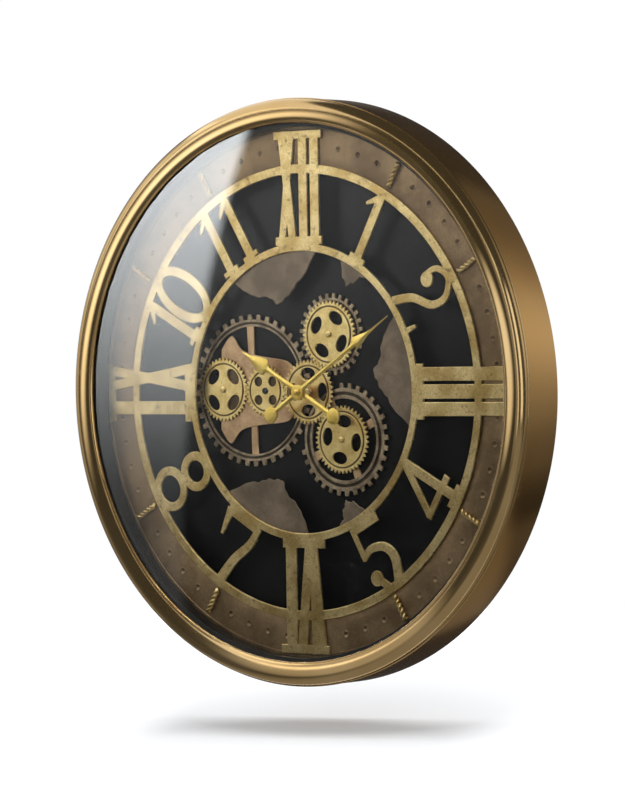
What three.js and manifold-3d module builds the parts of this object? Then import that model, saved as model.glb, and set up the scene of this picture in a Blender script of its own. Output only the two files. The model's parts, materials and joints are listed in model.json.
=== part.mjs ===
// Gear wall clock: a gilt drum case, a skeleton numeral dial and a train of turning brass gears behind glass.
// Millimetres. Every piece is drawn face up, with the wall at z = 0 and the reader above, and the finished
// clock is stood upright at the end: the dial faces -Y, +X is to the reader's right and +Z is up.
import * as THREE from 'three';
import { mergeVertices } from 'three/addons/utils/BufferGeometryUtils.js';
import Module from 'manifold-3d';

const wasm = await Module();
wasm.setup();

// Clearances
const seatGap = 0.2; // between pieces that rest on each other
const runGap = 0.35; // between a turning piece and what carries it
const edgeGap = 0.6; // round a piece dropped into a recess
const cutOver = 1; // how far a cut runs past the face that it opens

// Drum case and what it stands off the wall on
const caseRadius = 299;
const caseWall = 1.5;
const flangeWidth = 13;
const padHeight = 1.5;
const padRadius = 6;
const padCount = 4;

// Bezel and glass
const bezelOverhang = 1;
const bezelWall = 1.5;
const bezelWidth = 25;
const bezelStepWidth = 8;
const bezelStepHeight = 4.6;
const bezelBevel = 1.5;
const bezelRollHeight = 11;
const lipWidth = 8;
const lipLift = 2.5;
const lipMargin = 3; // from the lip to the drum's front flange
const glassThickness = 3;
const glassClearance = 4.7; // from the hands' nut to the glass
const gasketThickness = 1;
const shroudInset = 3.5;
const shroudWall = 2;

// Back board and its brackets
const boardThickness = 1.5;
const boardMargin = 1.5;
const bracketCount = 6;
const bracketWidth = 24;
const bracketLap = 10; // how far a bracket runs in under the board
const bracketLeg = 9;
const bracketThickness = 1.5;

// Chapter ring
const chapterWidth = 41.5;
const chapterThickness = 1.2;
const chapterRim = 3; // flat margin outside the shroud's wall
const standoffCount = 6;
const standoffHeight = 13.7;
const standoffRadius = 4;
const standoffInset = 12;
const ropeRadius = 2.6;
const ropeWaist = 0.5; // a strand's thin way, as a share of its wide one
const ropeTurns = 1;
const ropeStepsPerTurn = 8;
const ropeInset = 4.5; // from the chapter ring's inner edge
const ropeEndInset = 7; // from the shroud
const ropeSink = 0.8;

// Skeleton numeral dial
const dialThickness = 2.4;
const outerRingWidth = 9.4;
const outerRingOverlap = 0.4; // outer ring over the chapter ring's inner edge
const innerRingRadius = 144.5;
const innerRingWidth = 8.2;
const numeralMargin = 1.5;
const serifDepth = 9;
const romanHalf = 32; // half width of the widest Roman numeral

// Leaf plates riveted behind the inner ring
const leafThickness = 1.2;
const leafUnder = 5.5; // how far a leaf runs in under the ring
const largeLeafReach = 49;
const smallLeafReach = 20;
const largeLeafHours = [11.45, 2.66, 6.68];
const smallLeafHours = [1, 5.16];

// Brass gear train
const gearModule = 1.6;
const addendum = 0.85; // tooth height above the pitch circle, in modules
const dedendum = 1.55; // depth of the V gap below it, in modules
const tipWidth = 0.5; // width of a tooth's tip, in modules
const gearThickness = 2;
const centerTeeth = 40;
const idlerTeeth = 32;
const leftTeeth = 40;
const upperTeeth = 42;
const lowerTeeth = 42;
const trainAngle = THREE.MathUtils.degToRad(178.5);
const upperAngle = THREE.MathUtils.degToRad(63.8);
const lowerAngle = THREE.MathUtils.degToRad(-47.9);
const windowCount = 4;
const windowLength = 19;
const windowInner = 12.7;
const idlerHoleInner = 8.3;
const rimWidth = 4.3; // from a gear's windows to the roots of its teeth
const hubWall = 2.5;
const centerHubLength = 1.8;
const studRadius = 2.5;
const studHeadRadius = 3.4;
const studHeadHeight = 1.2;

// Fixed ring gears of dark bronze behind the train
const ringGearThickness = 2;
const ringGearLift = 1.2;
const ringGearHub = 9;
const bossStep = 1; // how much narrower the boss behind a hub is
const spokeCount = 4;
const spokeWidth = 9.5;
const ringToothRoot = 0.27; // half a tooth's width at its root, in tooth spacings
const ringToothTip = 0.2;
const largeRing = { teeth: 40, tip: 79, root: 73.6, inner: 66.5, offset: 78, turn: 2 };
const upperRing = { teeth: 28, tip: 42, root: 37.4, inner: 30.5, turn: 20 };
const lowerRing = { teeth: 32, tip: 57.8, root: 52.8, inner: 42, turn: 25, bareFrom: 98, bareTo: 188 };

// Bridge plate that carries the left end of the train
const bridgeThickness = 1.2;
const bridgePillarRadius = 3.5;
const bridgeEnd = 4.8; // past the left gear's axis
const noseClear = 18; // from the nose to the hands' axis
const lobeReach = 56;
const lobeRadius = 14;
const waistReach = 36;
const noseReach = 31;
const noseLobeRadius = 12;

// Hands
const handLift = 2.2;
const handGap = 1;
const handEdge = 0.7;
const handRidge = 1.8;
const minuteLength = 142;
const minuteTail = 43;
const minuteShape = [[0, 5.5], [0.58, 4.6], [0.64, 13], [0.7, 10], [0.8, 3], [1, 0.9]]; // [share, width]
const minuteAngle = 57.5; // degrees clockwise from twelve
const hourLength = 88;
const hourTail = 51;
const hourShape = [[0, 6], [0.5, 5], [0.6, 17], [0.72, 13], [0.86, 4], [1, 1]];
const hourAngle = 299;
const handHubRadius = 8;
const tailWidth = 5;
const tailDiscRadius = 8.5;
const arborRadius = 1.5;
const pipeWall = 0.8;
const nutRadius = 4;
const nutTopRadius = 2;
const nutHeight = 2.4;

// Clock movement, gear motor and their cells
const movementSize = 56;
const movementGap = 1; // to the wall
const bushWall = 1.3;
const bushNutWall = 2.5;
const bushNutHeight = 2.6;
const cellRadius = 7.1;
const cellLength = 50;
const cellKnobRadius = 2.75;
const cellGap = 0.5;
const contactGap = 1; // room for a spring at each end of a cell
const bayInset = 3;
const bayFloor = 1.3;
const settingRadius = 7;
const settingHeight = 2.4;
const settingOffset = 14;
const settingStem = 1.5;
const motorWidth = 74;
const motorHeight = 64;
const switchLength = 8;
const switchWidth = 4;
const switchHeight = 2;
const switchTravel = 4;

// Keyhole hanger
const hangerWidth = 64;
const hangerHeight = 36;
const hangerThickness = 1.2;
const keyholeRadius = 5;
const keyholeSlot = 2.4;
const keyholeDrop = 12;

// Facets
const ringSides = 40;
const roundSides = 8;
const windowSides = 8;
const discSides = 14;
const loopSides = 14;
const nutSides = 6;

const fullTurn = 2 * Math.PI;
const hourDegrees = 30;

// Radii and heights that follow from the sizes above
const bezelRadius = caseRadius + bezelOverhang;
const openingRadius = bezelRadius - bezelWidth;
const flangeRadius = caseRadius - flangeWidth;
const frontFlangeRadius = openingRadius + lipWidth + lipMargin;
const glassRadius = openingRadius + lipWidth - edgeGap;
const shroudRadius = openingRadius - shroudInset;
const chapterOuter = shroudRadius + shroudWall + chapterRim;
const chapterInner = shroudRadius - chapterWidth + chapterRim;
const numeralReach = shroudRadius - numeralMargin;
const outerRingOuter = chapterInner + outerRingOverlap;
const outerRingInner = outerRingOuter - outerRingWidth;
const innerRingOuter = innerRingRadius + innerRingWidth;
const boardRadius = flangeRadius - boardMargin;

const pipeInner = arborRadius + runGap;
const pipeOuter = pipeInner + pipeWall;
const bushInner = pipeOuter + runGap;
const bushOuter = bushInner + bushWall;
const bushNutRadius = bushOuter + seatGap + bushNutWall;

const bayDepth = 2 * (cellRadius + cellGap);
const drumRear = padHeight + seatGap;
const housingFront = movementGap + bayDepth - cellGap + bayFloor;
const arborRear = (movementGap + housingFront) / 2;
const boardRear = housingFront + seatGap;
const boardFront = boardRear + boardThickness;
const bushNutFront = boardFront + seatGap + bushNutHeight;
const chapterRear = boardFront + standoffHeight + 2 * seatGap;
const chapterFront = chapterRear + chapterThickness;
const dialRear = chapterFront + seatGap;
const dialFront = dialRear + dialThickness;
const leafFront = dialRear - seatGap;
const ringGearRear = boardFront + ringGearLift;
const ringGearFront = ringGearRear + ringGearThickness;
const bridgeRear = ringGearFront + seatGap;
const bridgeFront = bridgeRear + bridgeThickness;
const gearRear = Math.max(bridgeFront, bushNutFront + centerHubLength) + runGap;
const gearFront = gearRear + gearThickness;
const hourRear = dialFront + handLift;
const hourFront = hourRear + handRidge;
const minuteRear = hourFront + handGap;
const minuteFront = minuteRear + handRidge;
const nutRear = minuteFront + seatGap;
const nutFront = nutRear + nutHeight;
const bushFront = hourRear - runGap - seatGap;
const glassRear = nutFront + glassClearance;
const glassFront = glassRear + glassThickness;
const gasketFront = glassRear - seatGap;
const gasketRear = gasketFront - gasketThickness;
const lipRear = glassFront + seatGap;
const bezelSeat = lipRear - lipLift;
const drumFront = bezelSeat - seatGap;

// Finishes
const finish = (color, roughness, metalness) => (
  new THREE.MeshStandardMaterial({ color, roughness, metalness })
);
const gilt = finish(0xb08c50, 0.24, 1);
const satinGilt = finish(0xa9884e, 0.38, 1);
const clearGlass = new THREE.MeshStandardMaterial({
  color: 0xf2f6f6,
  roughness: 0.03,
  metalness: 0,
  transparent: true,
  opacity: 0.2,
});
const blackRubber = finish(0x1b1a19, 0.8, 0);
const blackLacquer = finish(0x161616, 0.2, 0);
const bronze = finish(0x5f5044, 0.5, 0.8);
const leafBronze = finish(0x6e6255, 0.5, 0.8);
const antiqueBrass = finish(0xbea05f, 0.42, 1);
const gearBrass = finish(0xc8af64, 0.38, 1);
const darkBronze = finish(0x786455, 0.5, 0.9);
const handGold = finish(0xe1be5a, 0.35, 1);
const steel = finish(0xa8a8a4, 0.35, 1);
const blackPlastic = finish(0x1e1e20, 0.55, 0);
const whitePlastic = finish(0xd8d6cf, 0.5, 0);
const cellJacket = finish(0x8f9296, 0.4, 0.3);

// The clock, drawn face up
const clock = new THREE.Group();

function polar(radius, angle, center = new THREE.Vector2()) {
  return new THREE.Vector2(center.x + radius * Math.cos(angle), center.y + radius * Math.sin(angle));
}

// What a function makes of each angle of an even pattern round a full turn
function around(count, make, start = 0) {
  return Array.from({ length: count }, (_, i) => make(((start + i) * fullTurn) / count, i));
}

function circle(radius, sides, center) {
  return around(sides, (angle) => polar(radius, angle, center));
}

function ellipse(alongX, alongY, sides, center, turn = 0) {
  return around(sides, (angle) => {
    const point = new THREE.Vector2(alongX * Math.cos(angle), alongY * Math.sin(angle));
    return point.rotateAround(new THREE.Vector2(), turn).add(center);
  });
}

function rectangle(width, height, center = new THREE.Vector2()) {
  const corners = [[-1, -1], [1, -1], [1, 1], [-1, 1]];
  return corners.map(([x, y]) => new THREE.Vector2(center.x + (x * width) / 2, center.y + (y * height) / 2));
}

// The angle of an hour mark, anticlockwise from +X as the dial is drawn
function hourTurn(hour) {
  return fullTurn / 4 - (hour / 12) * fullTurn;
}

// A closed geometry as a solid that can be joined and cut
function solidFrom(geometry) {
  geometry.deleteAttribute('normal');
  geometry.deleteAttribute('uv');
  const merged = mergeVertices(geometry);
  const corners = merged.index.array;
  const triangles = [];
  for (let i = 0; i < corners.length; i += 3) {
    const [a, b, c] = corners.subarray(i, i + 3);
    if (a !== b && b !== c && c !== a) triangles.push(a, b, c);
  }
  const mesh = new wasm.Mesh({
    numProp: 3,
    vertProperties: Float32Array.from(merged.attributes.position.array),
    triVerts: Uint32Array.from(triangles),
  });
  return new wasm.Manifold(mesh);
}

// A flat plate from its outline and holes, between two heights
function slab(outline, rear, front, holes = []) {
  const shape = new THREE.Shape(outline);
  shape.holes = holes.map((hole) => new THREE.Path(hole));
  const geometry = new THREE.ExtrudeGeometry(shape, { depth: front - rear, bevelEnabled: false });
  return solidFrom(geometry.translate(0, 0, rear));
}

// A turned piece from its half section of [radius, height] corners
function turned(profile, sides = ringSides) {
  const points = [...profile, profile[0]].map(([radius, height]) => new THREE.Vector2(radius, height));
  return solidFrom(new THREE.LatheGeometry(points, sides).rotateX(Math.PI / 2));
}

function ring(inner, outer, rear, front, sides = ringSides) {
  return turned([[outer, rear], [outer, front], [inner, front], [inner, rear]], sides);
}

function disc(radius, rear, front, center, sides = roundSides) {
  return slab(circle(radius, sides, center), rear, front);
}

// A skin through equal sections, capped at both ends
function loft(sections) {
  const count = sections[0].length;
  const corners = sections.flat().flatMap((point) => [point.x, point.y, point.z]);
  const triangles = [];
  for (let s = 0; s + 1 < sections.length; s += 1) {
    for (let i = 0; i < count; i += 1) {
      const next = (i + 1) % count;
      const [a, b] = [s * count + i, s * count + next];
      triangles.push(a, b, b + count, a, b + count, a + count);
    }
  }
  const last = (sections.length - 1) * count;
  for (let i = 1; i + 1 < count; i += 1) {
    triangles.push(0, i + 1, i, last, last + i, last + i + 1);
  }
  const geometry = new THREE.BufferGeometry();
  geometry.setAttribute('position', new THREE.Float32BufferAttribute(corners, 3));
  geometry.setIndex(triangles);
  return solidFrom(geometry);
}

function joined(solids) {
  return solids.reduce((whole, solid) => whole.add(solid));
}

// Adds a finished piece to the clock under its own name, with the flat faces that joins split made whole
function addPiece(name, solid, material) {
  const { vertProperties, triVerts } = solid.asOriginal().simplify().getMesh();
  const geometry = new THREE.BufferGeometry();
  geometry.setAttribute('position', new THREE.Float32BufferAttribute(vertProperties, 3));
  geometry.setIndex(Array.from(triVerts));
  geometry.computeVertexNormals();
  const mesh = new THREE.Mesh(geometry, material);
  mesh.name = name;
  clock.add(mesh);
}

// Drum case: one sheet wall with a rolled flange at each end
function addCase() {
  const inside = caseRadius - caseWall;
  addPiece('case_drum', turned([
    [caseRadius, drumRear],
    [caseRadius, drumFront],
    [frontFlangeRadius, drumFront],
    [frontFlangeRadius, drumFront - caseWall],
    [inside, drumFront - caseWall],
    [inside, drumRear + caseWall],
    [flangeRadius, drumRear + caseWall],
    [flangeRadius, drumRear],
  ]), satinGilt);
  const padCircle = caseRadius - flangeWidth / 2;
  around(padCount, (angle, i) => {
    addPiece(`bumper_pad_${i + 1}`, disc(padRadius, 0, padHeight, polar(padCircle, angle)), blackRubber);
  }, 0.5);
}

// Bezel: pressed sheet with a stepped outer edge, a groove and a fat roll, over a lip that holds the glass
function addBezel() {
  const grooveRadius = bezelRadius - bezelStepWidth;
  const stepTop = bezelSeat + bezelStepHeight;
  const rollFoot = stepTop - bezelBevel;
  const rollCenter = (grooveRadius + openingRadius) / 2;
  const rollHalf = (grooveRadius - openingRadius) / 2;
  const arch = (inset, steps) => Array.from({ length: steps + 1 }, (_, i) => {
    const angle = (i / steps) * Math.PI;
    const half = rollHalf - inset;
    return [rollCenter + half * Math.cos(angle), rollFoot + (bezelRollHeight - inset) * Math.sin(angle)];
  });
  addPiece('front_bezel', turned([
    [bezelRadius, bezelSeat],
    [bezelRadius, stepTop - bezelBevel],
    [bezelRadius - bezelBevel, stepTop],
    [grooveRadius + bezelBevel, stepTop],
    ...arch(0, 6),
    [openingRadius, lipRear],
    [openingRadius + lipWidth, lipRear],
    [openingRadius + lipWidth, lipRear + bezelWall],
    [openingRadius + bezelWall, lipRear + bezelWall],
    ...arch(bezelWall, 4).reverse(),
    [grooveRadius - bezelWall, rollFoot - bezelWall],
    [bezelRadius - bezelWall, rollFoot - bezelWall],
    [bezelRadius - bezelWall, bezelSeat],
  ]), gilt);
  addPiece('glass_lens', disc(glassRadius, glassRear, glassFront, undefined, ringSides), clearGlass);
  addPiece('glass_gasket', ring(shroudRadius, glassRadius, gasketRear, gasketFront), blackRubber);
  const shroudFoot = chapterFront + seatGap;
  const shroud = ring(shroudRadius, shroudRadius + shroudWall, shroudFoot, gasketRear - seatGap);
  addPiece('inner_shroud', shroud, blackLacquer);
}

// Centres of the gear train, worked outwards from the hands' axis
const pitchRadius = (teeth) => (gearModule * teeth) / 2;
const rootRadius = (teeth) => pitchRadius(teeth) - dedendum * gearModule;
const gearSpan = (teethA, teethB) => pitchRadius(teethA) + pitchRadius(teethB);
const centerAxis = new THREE.Vector2();
const idlerAxis = polar(gearSpan(centerTeeth, idlerTeeth), trainAngle);
const leftAxis = polar(gearSpan(idlerTeeth, leftTeeth), trainAngle, idlerAxis);
const upperAxis = polar(gearSpan(centerTeeth, upperTeeth), upperAngle);
const lowerAxis = polar(gearSpan(centerTeeth, lowerTeeth), lowerAngle);
const largeRingAxis = polar(largeRing.offset, trainAngle);
const centerBore = bushOuter + runGap;

// The turn that puts a driven gear's gap over its neighbour's tooth
function meshTurn(driverTurn, driverTeeth, direction, drivenTeeth) {
  const rolled = ((driverTurn - direction) * driverTeeth) / drivenTeeth;
  return direction + Math.PI - rolled + Math.PI / drivenTeeth;
}

const centerTurn = 0;
const idlerTurn = meshTurn(centerTurn, centerTeeth, trainAngle, idlerTeeth);
const leftTurn = meshTurn(idlerTurn, idlerTeeth, trainAngle, leftTeeth);
const upperTurn = meshTurn(centerTurn, centerTeeth, upperAngle, upperTeeth);
const lowerTurn = meshTurn(centerTurn, centerTeeth, lowerAngle, lowerTeeth);

function gearOutline(teeth, turn, axis) {
  const tip = pitchRadius(teeth) + addendum * gearModule;
  const root = rootRadius(teeth);
  const tipHalf = (tipWidth * gearModule) / 2 / tip;
  const step = fullTurn / teeth;
  return around(teeth, (angle) => {
    const middle = turn + angle;
    return [
      polar(root, middle - step / 2, axis),
      polar(tip, middle - tipHalf, axis),
      polar(tip, middle + tipHalf, axis),
    ];
  }).flat();
}

// Long windows round a gear's hub, alike on the four larger gears
function gearWindows(axis, turn) {
  const fewestTeeth = Math.min(centerTeeth, leftTeeth, upperTeeth, lowerTeeth);
  const windowOuter = rootRadius(fewestTeeth) - rimWidth;
  const windowWidth = windowOuter - windowInner;
  return around(windowCount, (angle) => {
    const center = polar(windowInner + windowWidth / 2, turn + angle, axis);
    return ellipse(windowWidth / 2, windowLength / 2, windowSides, center, turn + angle);
  });
}

function brassGear(teeth, turn, axis, boreRadius, windows, hubRear) {
  const bore = circle(boreRadius, roundSides, axis);
  const wheel = slab(gearOutline(teeth, turn, axis), gearRear, gearFront, [bore, ...windows]);
  const hub = slab(circle(boreRadius + hubWall, roundSides, axis), hubRear, gearRear, [bore]);
  return wheel.add(hub);
}

function addGearTrain() {
  const studBore = studRadius + runGap;
  const arborBore = studRadius + seatGap;
  const hubOnRing = ringGearFront + runGap;
  const hubOnBridge = bridgeFront + runGap / 2;
  const hubOnNut = bushNutFront + runGap;
  const idlerHoleRadius = (rootRadius(idlerTeeth) - rimWidth - idlerHoleInner) / 2;
  const idlerHoles = around(windowCount, (angle) => (
    circle(idlerHoleRadius, windowSides, polar(idlerHoleInner + idlerHoleRadius, angle, idlerAxis))
  ), 0.5);
  const eighth = fullTurn / 8;
  const windowsOf = {
    center: gearWindows(centerAxis, 0),
    left: gearWindows(leftAxis, eighth),
    upper: gearWindows(upperAxis, eighth / 2),
    lower: gearWindows(lowerAxis, 0),
  };
  const centerGear = brassGear(centerTeeth, centerTurn, centerAxis, centerBore, windowsOf.center, hubOnNut);
  const idlerGear = brassGear(idlerTeeth, idlerTurn, idlerAxis, studBore, idlerHoles, hubOnBridge);
  const leftGear = brassGear(leftTeeth, leftTurn, leftAxis, arborBore, windowsOf.left, hubOnBridge);
  const upperGear = brassGear(upperTeeth, upperTurn, upperAxis, studBore, windowsOf.upper, hubOnRing);
  const lowerGear = brassGear(lowerTeeth, lowerTurn, lowerAxis, studBore, windowsOf.lower, hubOnRing);
  addPiece('center_gear', centerGear, gearBrass);
  addPiece('idler_gear', idlerGear, gearBrass);
  addPiece('left_gear', leftGear, gearBrass);
  addPiece('upper_gear', upperGear, gearBrass);
  addPiece('lower_gear', lowerGear, gearBrass);
}

// A headed stud that holds a turning gear from the front
function stud(axis, rear) {
  const headRear = gearFront + runGap;
  const headFront = headRear + studHeadHeight;
  const pin = disc(studRadius, rear, headRear, axis);
  return pin.add(disc(studHeadRadius, headRear, headFront, axis));
}

function addStuds() {
  addPiece('upper_stud', stud(upperAxis, boardRear + seatGap), steel);
  addPiece('lower_stud', stud(lowerAxis, boardRear + seatGap), steel);
  addPiece('idler_stud', stud(idlerAxis, bridgeRear), steel);
  addPiece('drive_arbor', stud(leftAxis, arborRear), steel);
  const retainerRear = gearFront + runGap;
  const retainer = slab(
    circle(bushNutRadius, nutSides, centerAxis),
    retainerRear,
    retainerRear + bushNutHeight,
    [circle(bushOuter + seatGap, roundSides, centerAxis)],
  );
  addPiece('gear_retainer', retainer, steel);
}

// A fixed toothed ring on four spokes, with the teeth left off between two angles if it says so
function ringGear(sizes, axis, boreRadius) {
  const turn = THREE.MathUtils.degToRad(sizes.turn);
  const step = fullTurn / sizes.teeth;
  const bareFrom = THREE.MathUtils.degToRad(sizes.bareFrom ?? 0);
  const bareTo = THREE.MathUtils.degToRad(sizes.bareTo ?? 0);
  const outline = around(sizes.teeth, (angle) => {
    const middle = turn + angle;
    const bearing = THREE.MathUtils.euclideanModulo(middle, fullTurn);
    if (bearing > bareFrom && bearing < bareTo) return [polar(sizes.root, middle, axis)];
    return [
      polar(sizes.root, middle - step * ringToothRoot, axis),
      polar(sizes.tip, middle - step * ringToothTip, axis),
      polar(sizes.tip, middle + step * ringToothTip, axis),
      polar(sizes.root, middle + step * ringToothRoot, axis),
    ];
  }).flat();
  const rimSteps = 4;
  const spokeSpan = fullTurn / spokeCount;
  const windows = around(spokeCount, (angle) => {
    const start = turn + angle;
    const outerTrim = Math.asin(spokeWidth / 2 / sizes.inner);
    const innerTrim = Math.asin(spokeWidth / 2 / ringGearHub);
    const outerSpan = spokeSpan - 2 * outerTrim;
    const rim = Array.from({ length: rimSteps + 1 }, (_, i) => (
      polar(sizes.inner, start + outerTrim + (i / rimSteps) * outerSpan, axis)
    ));
    const hubEnd = polar(ringGearHub, start + spokeSpan - innerTrim, axis);
    const hubStart = polar(ringGearHub, start + innerTrim, axis);
    return [...rim, hubEnd, hubStart];
  });
  const bore = circle(boreRadius, roundSides, axis);
  const wheel = slab(outline, ringGearRear, ringGearFront, [bore, ...windows]);
  const bossOutline = circle(ringGearHub - bossStep, roundSides, axis);
  const boss = slab(bossOutline, boardFront + seatGap, ringGearRear, [bore]);
  return wheel.add(boss);
}

// Pillar positions of the bridge, one in each lobe
const alongTrain = (along, across) => (
  new THREE.Vector2(along, across).rotateAround(new THREE.Vector2(), trainAngle - Math.PI).add(largeRingAxis)
);
const bridgeTail = leftAxis.distanceTo(largeRingAxis) + bridgeEnd;
const bridgeNose = largeRing.offset - noseClear;
const leftLobeAcross = lobeReach - lobeRadius;
const noseLobeAcross = noseReach - noseLobeRadius;
const leftLobeAlong = lobeRadius - bridgeTail;
const noseLobeAlong = bridgeNose - noseLobeRadius;
const bridgePillars = [
  alongTrain(leftLobeAlong, leftLobeAcross),
  alongTrain(leftLobeAlong, -leftLobeAcross),
  alongTrain(noseLobeAlong, noseLobeAcross),
  alongTrain(noseLobeAlong, -noseLobeAcross),
];

// Butterfly bridge: two big lobes at the left, a waist and two small lobes at the nose
function bridgeOutline() {
  const half = [
    [-bridgeTail, leftLobeAcross],
    [leftLobeAlong, lobeReach],
    [leftLobeAlong + lobeRadius, leftLobeAcross],
    [(leftLobeAlong + noseLobeAlong) / 2, waistReach],
    [noseLobeAlong, noseReach],
    [bridgeNose, noseLobeAcross],
  ];
  const upper = new THREE.SplineCurve(half.map(([along, across]) => alongTrain(along, across)));
  const lower = new THREE.SplineCurve(half.map(([along, across]) => alongTrain(along, -across)).reverse());
  const steps = 15;
  return [...upper.getPoints(steps), ...lower.getPoints(steps)].reverse();
}

function addRingGears() {
  const clearOfStud = studRadius + seatGap;
  const clearOfArbor = studRadius + runGap;
  const cutFront = ringGearFront + cutOver;
  const arborHole = disc(clearOfArbor + runGap, 0, cutFront, leftAxis);
  const idlerHole = disc(clearOfArbor + runGap, 0, cutFront, idlerAxis);
  const bushHole = disc(Math.max(bushNutRadius, centerBore + hubWall) + edgeGap, 0, cutFront);
  const largeHoles = joined([arborHole, idlerHole, bushHole]);
  const largeGear = ringGear(largeRing, largeRingAxis, clearOfStud).subtract(largeHoles);
  addPiece('large_ring_gear', largeGear, darkBronze);
  addPiece('upper_ring_gear', ringGear(upperRing, upperAxis, clearOfStud), darkBronze);
  addPiece('lower_ring_gear', ringGear(lowerRing, lowerAxis, clearOfStud), darkBronze);
  const pivot = disc(studRadius, boardRear + seatGap, ringGearFront, largeRingAxis);
  addPiece('ring_gear_pivot', pivot, steel);
  const bridgeHoles = [leftAxis, idlerAxis].map((axis) => circle(clearOfArbor, roundSides, axis));
  addPiece('bridge_plate', slab(bridgeOutline(), bridgeRear, bridgeFront, bridgeHoles), darkBronze);
  bridgePillars.forEach((axis, i) => {
    const pillar = disc(bridgePillarRadius, boardFront + seatGap, bridgeRear - seatGap, axis);
    addPiece(`bridge_pillar_${i + 1}`, pillar, steel);
  });
}

// Black back board on brackets welded inside the drum
function addBoard() {
  const pinHole = (axis) => circle(studRadius + seatGap, roundSides, axis);
  const holes = [
    circle(bushOuter + seatGap, roundSides, centerAxis),
    pinHole(upperAxis),
    pinHole(lowerAxis),
    pinHole(largeRingAxis),
    circle(studRadius + runGap, roundSides, leftAxis),
  ];
  addPiece('back_board', slab(circle(boardRadius, ringSides), boardRear, boardFront, holes), blackLacquer);
  const top = boardRear - seatGap;
  const flatOfWall = (caseRadius - caseWall) * Math.cos(Math.PI / ringSides);
  const bowOverWidth = bracketWidth ** 2 / 8 / caseRadius;
  const wallSide = flatOfWall - bowOverWidth - edgeGap;
  const lapSide = boardRadius - bracketLap;
  const bracketSection = [
    [wallSide, top - bracketLeg],
    [wallSide, top],
    [lapSide, top],
    [lapSide, top - bracketThickness],
    [wallSide - bracketThickness, top - bracketThickness],
    [wallSide - bracketThickness, top - bracketLeg],
  ].map(([radius, height]) => new THREE.Vector2(radius, height));
  around(bracketCount, (angle, i) => {
    const geometry = new THREE.ExtrudeGeometry(new THREE.Shape(bracketSection), {
      depth: bracketWidth,
      bevelEnabled: false,
    });
    geometry.translate(0, 0, -bracketWidth / 2);
    geometry.rotateX(Math.PI / 2);
    geometry.rotateZ(angle);
    addPiece(`board_bracket_${i + 1}`, solidFrom(geometry), steel);
  });
}

// A twisted raised mark that lies along a radius of the chapter ring
function ropeMark(hour) {
  const steps = Math.ceil(ropeStepsPerTurn * ropeTurns);
  const strandSides = 4;
  const start = chapterInner + ropeInset;
  const end = shroudRadius - ropeEndInset;
  const height = chapterFront + ropeRadius - ropeSink;
  const turn = hourTurn(hour);
  const sections = Array.from({ length: steps + 1 }, (_, s) => {
    const along = THREE.MathUtils.lerp(start, end, s / steps);
    const twist = (s / steps) * ropeTurns * fullTurn;
    return around(strandSides, (angle, i) => {
      const lobe = i % 2 === 0 ? ropeRadius : ropeRadius * ropeWaist;
      const across = polar(lobe, angle + twist);
      const point = new THREE.Vector3(along, across.x, height + across.y);
      return point.applyAxisAngle(new THREE.Vector3(0, 0, 1), turn);
    });
  });
  return loft(sections);
}

// Bronze chapter ring with twisted marks at the eight plain hours, on pillars from the board
function addChapterRing() {
  const plainHours = [1, 2, 4, 5, 7, 8, 10, 11];
  const flat = ring(chapterInner, chapterOuter, chapterRear, chapterFront);
  addPiece('chapter_ring', joined([flat, ...plainHours.map(ropeMark)]), bronze);
  around(standoffCount, (angle, i) => {
    const center = polar(chapterOuter - standoffInset, angle);
    const pillar = disc(standoffRadius, boardFront + seatGap, chapterRear - seatGap, center);
    addPiece(`dial_standoff_${i + 1}`, pillar, steel);
  }, 0.5);
}

// Numerals are drawn upright about a radius of the dial: u runs clockwise along the rings in millimetres,
// and h runs outwards, from 0 at the inner ring's outer edge to 1 at the outer ring's inner edge.
const numeralHeight = (h) => innerRingOuter + h * (outerRingInner - innerRingOuter);
const dialPoint = ([u, h]) => new THREE.Vector2(u, numeralHeight(h));
const dialSlab = (outline, holes) => slab(outline, dialRear, dialFront, holes);

// A straight stroke that may taper
function bar(from, to, widthFrom, widthTo = widthFrom) {
  const [a, b] = [from, to].map(dialPoint);
  const side = b.clone().sub(a).normalize().rotateAround(new THREE.Vector2(), -Math.PI / 2);
  return dialSlab([
    a.clone().addScaledVector(side, -widthFrom / 2),
    a.clone().addScaledVector(side, widthFrom / 2),
    b.clone().addScaledVector(side, widthTo / 2),
    b.clone().addScaledVector(side, -widthTo / 2),
  ]);
}

// A curved stroke through a few points
function sweep(points, widthFrom, widthTo = widthFrom) {
  const curve = new THREE.SplineCurve(points.map(dialPoint));
  const steps = 2 * (points.length - 1);
  const edges = Array.from({ length: steps + 1 }, (_, i) => {
    const t = i / steps;
    const half = THREE.MathUtils.lerp(widthFrom, widthTo, t) / 2;
    const side = curve.getTangent(t).rotateAround(new THREE.Vector2(), -Math.PI / 2);
    const middle = curve.getPoint(t);
    return [middle.clone().addScaledVector(side, half), middle.clone().addScaledVector(side, -half)];
  });
  const right = edges.map(([point]) => point);
  const left = edges.map(([, point]) => point).reverse();
  return dialSlab([...right, ...left]);
}

function ball(center, radius) {
  return dialSlab(circle(radius, roundSides, dialPoint(center)));
}

// An oval loop between two heights, with half its hole's width and the stroke round it in millimetres
function loop(u, from, to, holeU, stroke) {
  const middle = dialPoint([u, (from + to) / 2]);
  const halfHeight = (numeralHeight(to) - numeralHeight(from)) / 2;
  const outside = ellipse(holeU + stroke, halfHeight, loopSides, middle);
  return dialSlab(outside, [ellipse(holeU, halfHeight - stroke, loopSides, middle)]);
}

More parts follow.
